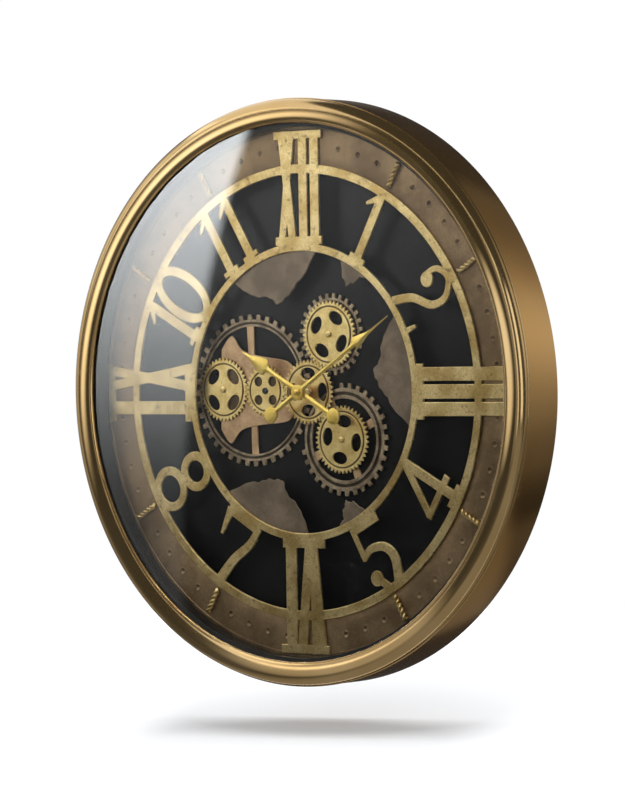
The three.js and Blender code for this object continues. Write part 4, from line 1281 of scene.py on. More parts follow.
gearShape = {
    "module": 1.6 * mm,
    "addendum": 0.85,
    "dedendum": 1.55,
    "tipWidth": 0.5,
    "thickness": 2 * mm,
    "grooveDepth": 0.9 * mm,
    "grooveFromRoot": (3.3 * mm, 1.5 * mm),
    "grooveSides": 72,
    "rim": 4.3 * mm,
    "rimDrop": 0.15 * mm,
    "windows": 4,
    "windowTeeth": 40,  # the gear that sets the size of all oval windows
    "windowInner": 12.7 * mm,
    "windowHalf": 9.5 * mm,
    "windowSides": 36,
    "idlerHoleInner": 8.3 * mm,
    "idlerHoleSides": 28,
    "hubWall": 2.5 * mm,
    "hubSides": 32,
    "overlap": 0.1 * mm,
    "edge": 0.28 * mm,
    "discEdge": 1.4,  # in edges
    "train": {
        "center": {"teeth": 40, "axis": centerAxis, "bore": 4.65 * mm, "windowTurn": 0.0},
        "idler": {"teeth": 32, "axis": idlerAxis, "bore": 2.85 * mm, "windowTurn": fullTurn / 8},
        "left": {"teeth": 40, "axis": leftAxis, "bore": 2.7 * mm, "windowTurn": fullTurn / 8},
        "upper": {"teeth": 42, "axis": upperAxis, "bore": 2.85 * mm, "windowTurn": fullTurn / 6},
        "lower": {"teeth": 42, "axis": lowerAxis, "bore": 2.85 * mm, "windowTurn": -fullTurn / 40},
    },
}


def rootRadius(teeth):
    return gearShape["module"] * (teeth / 2 - gearShape["dedendum"])


# The turn that puts a driven gear's gap over its neighbour's tooth
def meshTurn(driverTurn, driver, driven):
    line = driven["axis"] - driver["axis"]
    direction = math.atan2(line.y, line.x)
    rolled = (driverTurn - direction) * driver["teeth"] / driven["teeth"]
    return direction + math.pi - rolled + math.pi / driven["teeth"]


def gearOutline(teeth, turn, axis):
    tip = gearShape["module"] * (teeth / 2 + gearShape["addendum"])
    root = rootRadius(teeth)
    tipHalf = gearShape["tipWidth"] * gearShape["module"] / 2 / tip
    step = fullTurn / teeth
    outline = []
    for i in range(teeth):
        middle = turn + i * step
        outline.append(polar(root, middle - step / 2, axis))
        outline += [polar(tip, middle - tipHalf, axis), polar(tip, middle + tipHalf, axis)]
    return outline


def gearWindows(name, gear):
    axis, count = gear["axis"], gearShape["windows"]
    windows = []
    for angle in [gear["windowTurn"] + i * fullTurn / count for i in range(count)]:
        if name == "idler":
            inner = gearShape["idlerHoleInner"]
            radius = (rootRadius(gear["teeth"]) - gearShape["rim"] - inner) / 2
            windows.append(circle(radius, gearShape["idlerHoleSides"], polar(inner + radius, angle, axis)))
        else:
            inner = gearShape["windowInner"]
            half = (rootRadius(gearShape["windowTeeth"]) - gearShape["rim"] - inner) / 2
            middle = polar(inner + half, angle, axis)
            windows.append(ellipse(half, gearShape["windowHalf"], gearShape["windowSides"], middle, angle))
    return windows


def gearShell(name, gear, turn):
    size = measure(name + "_gear")
    axis, root, front = gear["axis"], rootRadius(gear["teeth"]), size["front"]
    edge, over = gearShape["edge"], gearShape["overlap"]
    floor, back = front - gearShape["grooveDepth"], front - gearShape["thickness"]
    grooveIn, grooveOut = [circle(root - inset, gearShape["grooveSides"], axis)
                           for inset in gearShape["grooveFromRoot"]]
    outline = gearOutline(gear["teeth"], turn, axis)
    bore = circle(gear["bore"], gearShape["hubSides"], axis)
    hub = circle(gear["bore"] + gearShape["hubWall"], gearShape["hubSides"], axis)
    cuts = [bore, *gearWindows(name, gear)]
    return joinShells(
        plate([outline], cuts, back, floor, edge / 2),
        plate([outline], [grooveOut], floor - over, front - gearShape["rimDrop"], edge),
        plate([grooveIn], cuts, floor - over, front, edge * gearShape["discEdge"]),
        plate([hub], [bore], size["rear"], back + over, edge / 2),
    )


train = gearShape["train"]
gearTurns = {"center": 0.0}
for driver, driven in [("center", "idler"), ("idler", "left"), ("center", "upper"), ("center", "lower")]:
    gearTurns[driven] = meshTurn(gearTurns[driver], train[driver], train[driven])
for name, gear in train.items():
    shell = gearShell(name, gear, gearTurns[name])
    addPiece(name + "Gear", shell, name, "gear_brass", gearBrass, name + "_gear")

# Studs and shafts: a pin with a low domed head and a small centre punch

studShape = {
    "pin": 2.5 * mm,
    "head": 3.4 * mm,
    "headHeight": 1.2 * mm,
    "headDome": 0.35 * mm,
    "punch": (1.44 * mm, 0.9 * mm, 0.36 * mm),  # radii of its rim, mouth and floor
    "punchLip": 0.05 * mm,
    "punchDepth": 0.5 * mm,
    "soft": 0.3 * mm,
    "crisp": 0.1 * mm,
    "sides": 40,
}


def studShell(node, axis):
    size = measure(node)
    pin, head, front = studShape["pin"], studShape["head"], size["front"]
    rim, mouth, bottom = studShape["punch"]
    soft, crisp = studShape["soft"], studShape["crisp"]
    under, floor = front - studShape["headHeight"], front - studShape["punchDepth"]
    profile = softProfile([
        (0, size["rear"], 0),
        (pin, size["rear"], soft),
        (pin, under, 0),
        (head, under, soft / 2),
        (head, front - studShape["headDome"], soft),
        (rim, front, soft),
        (mouth, front - studShape["punchLip"], crisp),
        (bottom, floor, crisp),
        (0, floor, 0),
    ], closed=False)
    return turned(profile, studShape["sides"], axis)


studs = {
    "upperStud": ("upper_stud", upperAxis, "case", "gear_brass", gearBrass),
    "lowerStud": ("lower_stud", lowerAxis, "case", "gear_brass", gearBrass),
    "idlerStud": ("idler_stud", idlerAxis, "case", "dark_bronze", blackPlastic),
    "driveArbor": ("drive_arbor", leftAxis, "left", "gear_brass", gearBrass),
}
for name, (node, axis, body, slot, finish) in studs.items():
    addPiece(name, studShell(node, axis), body, slot, finish, node)

# Plain pins, pillars and nuts

pinShape = {
    "edge": 0.4 * mm,
    "sides": 32,
    "nutSides": 6,
    "nutHole": 4.4 * mm,
    "nutEdge": 0.5 * mm,
    "rows": {
        "bridgePillar": ("bridge_pillar", 4, "steel", zincSteel),
        "dialStandoff": ("dial_standoff", 6, "steel", zincSteel),
        "bumperPad": ("bumper_pad", 4, "black_rubber", blackRubber),
    },
}


def pinShell(node):
    size = measure(node)
    return discShell(size, pinShape["edge"], pinShape["sides"], (size["x"], size["z"]))


def nutShell(node):
    size = measure(node)
    hexagon = circle(size["radius"], pinShape["nutSides"])
    hole = circle(pinShape["nutHole"], pinShape["sides"])
    return plate([hexagon], [hole], size["rear"], size["front"], pinShape["nutEdge"], pinShape["nutEdge"])


addPiece("ringGearPivot", pinShell("ring_gear_pivot"), "case", "steel", zincSteel, "ring_gear_pivot")
addPiece("minuteArbor", pinShell("minute_arbor"), "minute", "steel", zincSteel, "minute_arbor")
addPiece("gearRetainer", nutShell("gear_retainer"), "case", "steel", bridgeBronze, "gear_retainer")
addPiece("bushNut", nutShell("bush_nut"), "case", "steel", zincSteel, "bush_nut")
for name, (row, count, slot, finish) in pinShape["rows"].items():
    for i in range(1, count + 1):
        addPiece(f"{name}{i}", pinShell(f"{row}_{i}"), "case", slot, finish, f"{row}_{i}")
print("gear work made")

# Hands: a ridged blade with a spade, a hub and a counterweight disc

handShape = {
    "edge": 0.7 * mm,
    "ridge": 1.8 * mm,
    "shoulder": (0.45, 0.75),  # shares of the half width and of the ridge
    "leastWidth": 0.8,
    "hub": 8 * mm,
    "hubEdge": 0.8 * mm,
    "tailWidth": 5,
    "disc": 8.5 * mm,
    "discDrop": 0.2 * mm,
    "discEdge": 0.9 * mm,
    "crisp": 0.2 * mm,
    "sides": 48,
    "steps": 10,
    "minute": {"length": 142, "tail": 43, "turn": 57.5, "hole": 1.7 * mm,
               "widths": [(0, 5.5), (0.58, 4.6), (0.64, 13), (0.7, 10), (0.8, 3), (1, 0.9)]},
    "hour": {"length": 88, "tail": 51, "turn": 299, "hole": 1.85 * mm,
             "widths": [(0, 6), (0.5, 5), (0.6, 17), (0.72, 13), (0.86, 4), (1, 1)]},
}


def handShell(name):
    hand = handShape[name]
    rear = measure(name + "_hand")["front"] - handShape["ridge"]
    edge, ridge = rear + handShape["edge"], rear + handShape["ridge"]
    turn = fullTurn / 4 - math.radians(hand["turn"])
    along, side = polar(1, turn), polar(1, turn - fullTurn / 4)
    stations = [(-hand["tail"], handShape["tailWidth"])]
    stations += [(share * hand["length"], width) for share, width in hand["widths"]]
    shoulder = edge + (ridge - edge) * handShape["shoulder"][1]
    sections = []
    for distance, width in smoothCurve(stations, handShape["steps"]):
        half = max(width, handShape["leastWidth"]) * mm / 2
        inset = half * handShape["shoulder"][0]
        middle = along * distance * mm
        ring = [(-half, rear), (half, rear), (half, edge), (inset, shoulder), (0, ridge),
                (-inset, shoulder), (-half, edge)]
        sections.append([spot(*(middle + side * across), depth) for across, depth in ring])
    crisp, sides = handShape["crisp"], handShape["sides"]
    hub = softProfile([
        (hand["hole"], rear, 0),
        (handShape["hub"], rear, crisp),
        (handShape["hub"], ridge, handShape["hubEdge"]),
        (hand["hole"], ridge, crisp),
    ])
    disc = softProfile([
        (0, rear, 0),
        (handShape["disc"], rear, crisp),
        (handShape["disc"], ridge - handShape["discDrop"], handShape["discEdge"]),
        (0, ridge, 0),
    ], closed=False)
    weight = along * -hand["tail"] * mm
    return joinShells(loft(sections), turned(hub, sides), turned(disc, sides, weight))


pipeShape = {"inner": 1.85 * mm, "outer": 2.65 * mm, "edge": 0.1 * mm, "sides": 32}


def pipeShell():
    size = measure("hour_hand")
    rear, front, edge = size["rear"], size["front"] - handShape["ridge"], pipeShape["edge"]
    outer, inner = pipeShape["outer"], pipeShape["inner"]
    section = [(outer, rear, edge), (outer, front, 0), (inner, front, 0), (inner, rear, edge)]
    return turned(softProfile(section), pipeShape["sides"])


addPiece("minuteHand", handShell("minute"), "minute", "hand_gold", handGold, "minute_hand")
addPiece("hourHand", joinShells(handShell("hour"), pipeShell()), "hour", "hand_gold", handGold, "hour_hand")

handNutShape = {"foot": 0.2 * mm, "shoulder": 0.5 * mm, "crown": 0.6 * mm, "sides": 32}


def handNutShell():
    size = measure("hand_nut")
    radius, rear, front = size["radius"], size["rear"], size["front"]
    profile = softProfile([
        (0, rear, 0),
        (radius, rear, handNutShape["foot"]),
        (radius, (rear + front) / 2, handNutShape["shoulder"]),
        (radius / 2, front, handNutShape["crown"]),
        (0, front, 0),
    ], closed=False)
    return turned(profile, handNutShape["sides"])


addPiece("handNut", handNutShell(), "minute", "hand_gold", handGold, "hand_nut")
print("hands made")

# Housings behind the board: a moulded box with an open bay for its cell

housingShape = {
    "corner": 4 * mm,
    "edge": 0.9 * mm,
    "crisp": 0.1 * mm,
    "overlap": 0.05 * mm,
    "bay": (52 * mm, 15.2 * mm),
    "bayCorner": 0.8 * mm,
    "bayInset": 3 * mm,
    "bayFloor": 1.3 * mm,
    "seam": 10 * mm,
    "seamHeight": 1 * mm,
    "seamInset": 0.5 * mm,
    "seamEdge": 0.3 * mm,
    "well": 7.6 * mm,
    "wellSides": 48,
    "wellFloor": 4.1 * mm,
    "arborHole": 2.85 * mm,
    "boreSides": 32,
    "slot": (12.7 * mm, 4.7 * mm),
    "slotCorner": 0.5 * mm,
    "slotFloor": 3.35 * mm,
    "cornerSteps": 3,
    "switchTravel": 4 * mm,
}
movement = measure("quartz_movement")
motor = measure("gear_motor")
settingAxis = axisOf("setting_turn")
switchSize = measure("motor_switch")
housingFront = motor["front"]


def cellCenter(size, center):
    low = center[1] - size["height"] / 2
    return Vector((center[0], low + housingShape["bayInset"] + housingShape["bay"][1] / 2))


def smallBox(part, center):
    return roundedBox(*housingShape[part], housingShape[part + "Corner"], center, housingShape["cornerSteps"])


# Stacked slabs make the housing: what opens at the rear, the body with the bay, and the floor at the board
def housingShell(size, center, opening, openingFloor, bore):
    width, height, corner = size["width"], size["height"], housingShape["corner"]
    inset = 2 * housingShape["seamInset"]
    outline = roundedBox(width, height, corner, center)
    waist = roundedBox(width - inset, height - inset, corner, center)
    bay = smallBox("bay", cellCenter(size, center))
    floor = housingFront - housingShape["bayFloor"]
    seam, over = housingShape["seam"], housingShape["overlap"]
    seamTop = seam + housingShape["seamHeight"]
    edge, seamEdge, crisp = housingShape["edge"], housingShape["seamEdge"], housingShape["crisp"]
    return joinShells(
        plate([outline], [bay, opening], size["rear"], openingFloor, crisp, edge),
        plate([outline], [bay], openingFloor - over, seam, seamEdge, crisp),
        plate([waist], [bay], seam - over, seamTop, crisp, crisp),
        plate([outline], [bay], seamTop - 2 * over, floor + over, crisp, seamEdge),
        plate([outline], [bore], floor, housingFront, edge, crisp),
    )


bushShape = {
    "radius": 4.3 * mm,
    "hole": 3 * mm,
    "sink": 0.5 * mm,
    "pitch": 0.8 * mm,
    "threadDepth": 0.3 * mm,
    "threadFoot": 0.1,
    "threadCrest": 0.5,
    "plainEnd": 1 * mm,
    "sides": 40,
}


def bushShell():
    pitch, radius, hole = bushShape["pitch"], bushShape["radius"], bushShape["hole"]
    root = radius - bushShape["threadDepth"]
    rear, front = housingFront - bushShape["sink"], movement["front"]
    section = [(root, rear)]
    for i in range(int((front - rear - bushShape["plainEnd"]) / pitch)):
        start = rear + i * pitch
        section.append((root, start + bushShape["threadFoot"] * pitch))
        section.append((radius, start + bushShape["threadCrest"] * pitch))
    section += [(root, front), (hole, front), (hole, rear)]
    return turned([Vector(point) for point in section], bushShape["sides"])


movementCenter = Vector((0, 0))
well = circle(housingShape["well"], housingShape["wellSides"], settingAxis)
bushBore = circle(bushShape["hole"], housingShape["boreSides"])
movementShell = housingShell(movement, movementCenter, well, housingShape["wellFloor"], bushBore)
addPiece("movementCase", movementShell, "case", "black_plastic", blackPlastic, "quartz_movement")
addPiece("movementBush", bushShell(), "case", "steel", gearBrass, "quartz_movement")

switchAxis = Vector((switchSize["x"] + housingShape["switchTravel"] / 2, switchSize["z"]))
arborBore = circle(housingShape["arborHole"], housingShape["boreSides"], leftAxis)
motorShell = housingShell(motor, leftAxis, smallBox("slot", switchAxis), housingShape["slotFloor"], arborBore)
addPiece("motorCase", motorShell, "case", "black_plastic", blackPlastic, "gear_motor")

# Cells: a plain sleeve with a darker band, bare ends, a knob and a flat spring at the other end

cellShape = {
    "radius": 7.1 * mm,
    "length": 50 * mm,
    "depth": 8.6 * mm,
    "band": 15 * mm,
    "lip": 0.5 * mm,
    "lipFoot": 1.4 * mm,
    "lipWidth": 1.2 * mm,
    "lipEdge": 0.2 * mm,
    "shoulder": 0.6 * mm,
    "sides": 48,
    "cap": 1.5 * mm,
    "capSink": 0.2 * mm,
    "capRise": 0.15 * mm,
    "capEdge": 0.1 * mm,
    "capSides": 40,
    "knob": 2.75 * mm,
    "knobHeight": 0.5 * mm,
    "knobEdge": 0.3 * mm,
    "springGap": 0.85 * mm,
    "springTaper": 0.45,
    "springSteps": 24,
    "wireSides": 8,
    "spring": {"Turns": 2.5, "Radius": 4.2 * mm, "Height": 0.7 * mm, "Wire": 0.32 * mm},
}


# A turned shell laid along X: its axis depth becomes x
def turnedAlongX(profile, segments, middle):
    points, faces = turned(profile, segments)
    laid = [Vector((middle.x - p.y, -cellShape["depth"] - p.x, middle.y + p.z)) for p in points]
    return laid, faces


# The jacket from one end, which is rolled in to a lip, to the place where sleeve and band meet
def jacketProfile(end, split):
    radius, floor = cellShape["radius"], end - math.copysign(cellShape["lip"], end)
    corners = [
        (0, floor, 0),
        (radius - cellShape["lipFoot"], floor, 0),
        (radius - cellShape["lipWidth"], end, cellShape["lipEdge"]),
        (radius, end, cellShape["shoulder"]),
        (radius, split, 0),
        (0, split, 0),
    ]
    return softProfile(corners if end < 0 else corners[::-1], closed=False)


def capProfile(end):
    out, knob, edge = cellShape["radius"] - cellShape["cap"], cellShape["knob"], cellShape["capEdge"]
    floor, top = end - cellShape["lip"], end + cellShape["knobHeight"]
    rear, front = floor - cellShape["capSink"], floor + cellShape["capRise"]
    return softProfile([
        (0, rear, 0),
        (out, rear, 0),
        (out, front, edge),
        (knob, front, edge),
        (knob, top, cellShape["knobEdge"]),
        (0, top, 0),
    ], closed=False)


def coilSpring(tree, wires):
    coil = Wire.node(tree, "GeometryNodeCurveSpiral", {
        "Resolution": cellShape["springSteps"],
        "Rotations": wires["Turns"],
        "Start Radius": wires["Radius"],
        "End Radius": wires["Radius"] * cellShape["springTaper"],
        "Height": wires["Height"],
    })
    size = {"Resolution": cellShape["wireSides"], "Radius": wires["Wire"]}
    wire = Wire.node(tree, "GeometryNodeCurvePrimitiveCircle", size)
    solid = {"Curve": coil, "Profile Curve": wire, "Fill Caps": True}
    swept = Wire.node(tree, "GeometryNodeCurveToMesh", solid)
    laid = {"Geometry": swept, "Rotation": (0, math.pi / 2, 0)}
    return scatter(tree, wires["Geometry"], Wire.node(tree, "GeometryNodeTransform", laid))


def addCell(name, node, middle):
    half = cellShape["length"] / 2
    split = half - cellShape["band"]
    sleeve = turnedAlongX(jacketProfile(-half, split), cellShape["sides"], middle)
    band = turnedAlongX(jacketProfile(half, split), cellShape["sides"], middle)
    cap = turnedAlongX(capProfile(half), cellShape["capSides"], middle)
    addPiece(name + "Sleeve", sleeve, "case", "cell_jacket", cellJacket, node)
    addPiece(name + "Band", band, "case", "cell_jacket", blackPlastic, node)
    addPiece(name + "Cap", cap, "case", "steel", zincSteel, node)
    place = pointMesh(name + "SpringPlace",
                      [spot(middle.x - half - cellShape["springGap"], middle.y, cellShape["depth"])])
    spring = growNodes(name + "Spring", place, cellShape["spring"], zincSteel, coilSpring)
    addPiece(name + "Spring", spring, "case", "steel", zincSteel)


addCell("timeCell", "time_cell", cellCenter(movement, movementCenter))
addCell("motorCell", "motor_cell", cellCenter(motor, leftAxis))

# Setting wheel with a ribbed rim, and the ribbed slide of the motor's switch

settingShape = {
    "stem": 1.5 * mm,
    "stemEdge": 0.2 * mm,
    "height": 2.4 * mm,
    "dish": 0.5 * mm,
    "dishSpan": (0.55, 0.7),  # shares of the rim's radius
    "edge": 0.3 * mm,
    "rimEdge": 0.4 * mm,
    "sides": 60,
    "ribs": 30,
    "ribRadius": 0.42 * mm,
    "ribSides": 10,
    "ribDrop": 0.6 * mm,
}
setting = measure("setting_wheel")
settingRim = setting["radius"] - settingShape["ribRadius"]


def settingShell():
    rear, stem = setting["rear"], settingShape["stem"]
    edge, rimEdge = settingShape["edge"], settingShape["rimEdge"]
    front, floor = rear + settingShape["height"], rear + settingShape["dish"]
    dishFrom, dishTo = [settingRim * share for share in settingShape["dishSpan"]]
    profile = softProfile([
        (0, floor, 0),
        (dishFrom, floor, edge),
        (dishTo, rear, rimEdge),
        (settingRim, rear, rimEdge),
        (settingRim, front, edge),
        (stem, front, 0),
        (stem, setting["front"], settingShape["stemEdge"]),
        (0, setting["front"], 0),
    ], closed=False)
    return turned(profile, settingShape["sides"], settingAxis)


def ribRim(tree, wires):
    post = {"Vertices": settingShape["ribSides"], "Radius": wires["Rib radius"], "Depth": wires["Height"]}
    rib = Wire.node(tree, "GeometryNodeMeshCylinder", post)
    stood = Wire.node(tree, "GeometryNodeTransform", {"Geometry": rib, "Rotation": (math.pi / 2, 0, 0)})
    return scatter(tree, wires["Geometry"], stood)


addPiece("settingWheel", settingShell(), "setting", "white_plastic", whitePlastic, "setting_wheel")
ribDepth = setting["rear"] + settingShape["height"] / 2
ribPlaces = around(settingShape["ribs"], lambda angle: spot(*polar(settingRim, angle, settingAxis), ribDepth))
ribs = growNodes("settingRibs", pointMesh("ribPlaces", ribPlaces), {
    "Rib radius": settingShape["ribRadius"],
    "Height": settingShape["height"] - settingShape["ribDrop"],
}, whitePlastic, ribRim)
addPiece("settingRibs", ribs, "setting", "white_plastic", whitePlastic, "setting_wheel")

switchShape = {
    "corner": 0.6 * mm,
    "cornerSteps": 4,
    "base": 0.9 * mm,
    "edge": 0.2 * mm,
    "ribs": 4,
    "ribWidth": 0.7 * mm,
    "ribShare": 0.86,
    "ribCorner": 0.3 * mm,
    "ribCornerSteps": 3,
    "overlap": 0.1 * mm,
}


def switchShell():
    x, z, count, edge = switchSize["x"], switchSize["z"], switchShape["ribs"], switchShape["edge"]
    width, height = switchSize["width"], switchSize["height"]
    split, over = switchSize["front"] - switchShape["base"], switchShape["overlap"]
    base = roundedBox(width, height, switchShape["corner"], (x, z), switchShape["cornerSteps"])
    shells = [plate([base], [], split, switchSize["front"], edge)]
    for i in range(count):
        place = (x + (i + 0.5 - count / 2) * width / count, z)
        rib = roundedBox(switchShape["ribWidth"], height * switchShape["ribShare"], switchShape["ribCorner"],
                         place, switchShape["ribCornerSteps"])
        shells.append(plate([rib], [], switchSize["rear"], split + over, over, edge))
    return joinShells(*shells)


addPiece("motorSwitch", switchShell(), "switch", "white_plastic", whitePlastic, "motor_switch")

# Keyhole hanger on the rear flange, with its rivets

hangerShape = {
    "corner": 5 * mm,
    "keyhole": 5 * mm,
    "slotHalf": 2.4 * mm,
    "drop": 12 * mm,
    "steps": 24,
    "slotSteps": 8,
    "edge": 0.3 * mm,
    "rivetX": 24 * mm,
    "rivetDrop": 3 * mm,
    "rivetSink": 0.25 * mm,
    "rivetRadius": 2 * mm,
    "rivetRise": 0.25,
    "rivetSides": 20,
    "rivetRings": 10,
}
hanger = measure("hanger_plate")


def hangerShell():
    middle, edge = (hanger["x"], hanger["z"]), hangerShape["edge"]
    keyhole, slotHalf = hangerShape["keyhole"], hangerShape["slotHalf"]
    hub = (0, middle[1] - hanger["height"] / 2 + 2 * keyhole)
    half = math.asin(slotHalf / keyhole)
    start, span = fullTurn / 4 + half, fullTurn - 2 * half
    steps, slotSteps = hangerShape["steps"], hangerShape["slotSteps"]
    slotTop = (0, hub[1] + hangerShape["drop"] - slotHalf)
    hole = [polar(keyhole, start + span * i / steps, hub) for i in range(steps + 1)]
    hole += [polar(slotHalf, math.pi * i / slotSteps, slotTop) for i in range(slotSteps + 1)]
    outline = roundedBox(hanger["width"], hanger["height"], hangerShape["corner"], middle)
    return plate([outline], [hole], hanger["rear"], hanger["front"], edge, edge)


addPiece("hangerPlate", hangerShell(), "case", "steel", zincSteel, "hanger_plate")


def domeRivets(tree, wires):
    sides, rings = hangerShape["rivetSides"], hangerShape["rivetRings"]
    size = {"Segments": sides, "Rings": rings, "Radius": wires["Radius"]}
    dome = Wire.node(tree, "GeometryNodeMeshUVSphere", size)
    flat = {"Geometry": dome, "Scale": vectorOf(tree, 1, wires["Rise"], 1)}
    return scatter(tree, wires["Geometry"], Wire.node(tree, "GeometryNodeTransform", flat))


rivetZ = hanger["z"] + hanger["height"] / 2 - hangerShape["rivetDrop"]
rivetDepth = hanger["rear"] + hangerShape["rivetSink"]
rivetPlaces = [spot(side * hangerShape["rivetX"], rivetZ, rivetDepth) for side in (-1, 1)]
rivets = growNodes("hangerRivets", pointMesh("rivetPlaces", rivetPlaces), {
    "Radius": hangerShape["rivetRadius"],
    "Rise": hangerShape["rivetRise"],
}, zincSteel, domeRivets)
addPiece("hangerRivets", rivets, "case", "steel", zincSteel)

# The brackets keep their own solids, with worn edges

bracketShape = {"count": 6, "weld": 0.01 * mm, "bevel": 0.35 * mm, "segments": 2}


def dressBracket(node, finish):
    piece = bpy.data.objects[node]
    piece.data.materials.clear()
    piece.data.materials.append(finish)
    piece.modifiers.new("joined", "WELD").merge_threshold = bracketShape["weld"]
    bevel = piece.modifiers.new("edges", "BEVEL")
    bevel.width = bracketShape["bevel"]
    bevel.segments = bracketShape["segments"]
    bevel.limit_method = "ANGLE"


for i in range(bracketShape["count"]):
    dressBracket(f"board_bracket_{i + 1}", zincSteel)
print("rear made")

# Camera, fitted to the photograph

cameraShape = {
    "azimuth": 39.97,
    "elevation": 0.87,
    "roll": -0.96,
    "distance": 4.0772,
    "target": (0, -0.05547, 0),
    "slide": (0.02436, -0.00745),
    "focalPixels": 3996.0,
    "imageWidth": 627,
    "sensor": 36.0,
}


def addCamera():
    azimuth, elevation = math.radians(cameraShape["azimuth"]), math.radians(cameraShape["elevation"])
    roll = math.radians(cameraShape["roll"])
    level = math.cos(elevation)
    back = Vector((math.sin(azimuth) * level, -math.cos(azimuth) * level, math.sin(elevation)))
    right = Vector((math.cos(azimuth), math.sin(azimuth), 0))
    up = back.cross(right)
    right, up = right * math.cos(roll) + up * math.sin(roll), up * math.cos(roll) - right * math.sin(roll)
    slideRight, slideUp = cameraShape["slide"]
    place = Vector(cameraShape["target"]) + back * cameraShape["distance"] + right * slideRight + up * slideUp
    lens = bpy.data.cameras.new("photoCamera")
    lens.sensor_fit = "HORIZONTAL"
    lens.sensor_width = cameraShape["sensor"]
    lens.lens = cameraShape["focalPixels"] / cameraShape["imageWidth"] * cameraShape["sensor"]
    camera = bpy.data.objects.new("photoCamera", lens)
    turn = Matrix((right, up, back)).transposed().to_4x4()
    camera.matrix_world = Matrix.Translation(place) @ turn
    bpy.context.scene.collection.objects.link(camera)
    bpy.context.scene.camera = camera


addCamera()

# Studio: white world, paper floor, soft lamps and the cards that the polished metal and the glass mirror

studioShape = {
    "worldPlain": 0.45,
    "floorTone": (0.9, 0.92, 0.94, 1),
    "floorDrop": 0.335,
    "floorTilt": math.radians(17),
    "floorLean": 0.035,
    "floorSide": 3.2,
    "floorFront": -1.2,
    "floorBack": 0.3,
    "floorGlow": 0.17,
}
lampShape = {
    "keyLamp": {"place": (-1.9, -1.3, 1.5), "size": 1.5, "power": 14},
    "sideLamp": {"place": (1.6, -1.9, 0.5), "size": 1.2, "power": 1.5},
}
sunShape = {"strength": 2.9, "softness": math.radians(45), "toward": (0.0, 0.0, -1.0)}


# Corners of a flat card square to one axis, from pairs of the two other coordinates
def flatCard(axis, place, pairs):
    at = "xyz".index(axis)
    return [(*pair[:at], place, *pair[at:]) for pair in pairs]


def card(axis, place, first, second):
    (left, right), (low, high) = first, second
    return flatCard(axis, place, [(left, low), (right, low), (right, high), (left, high)])


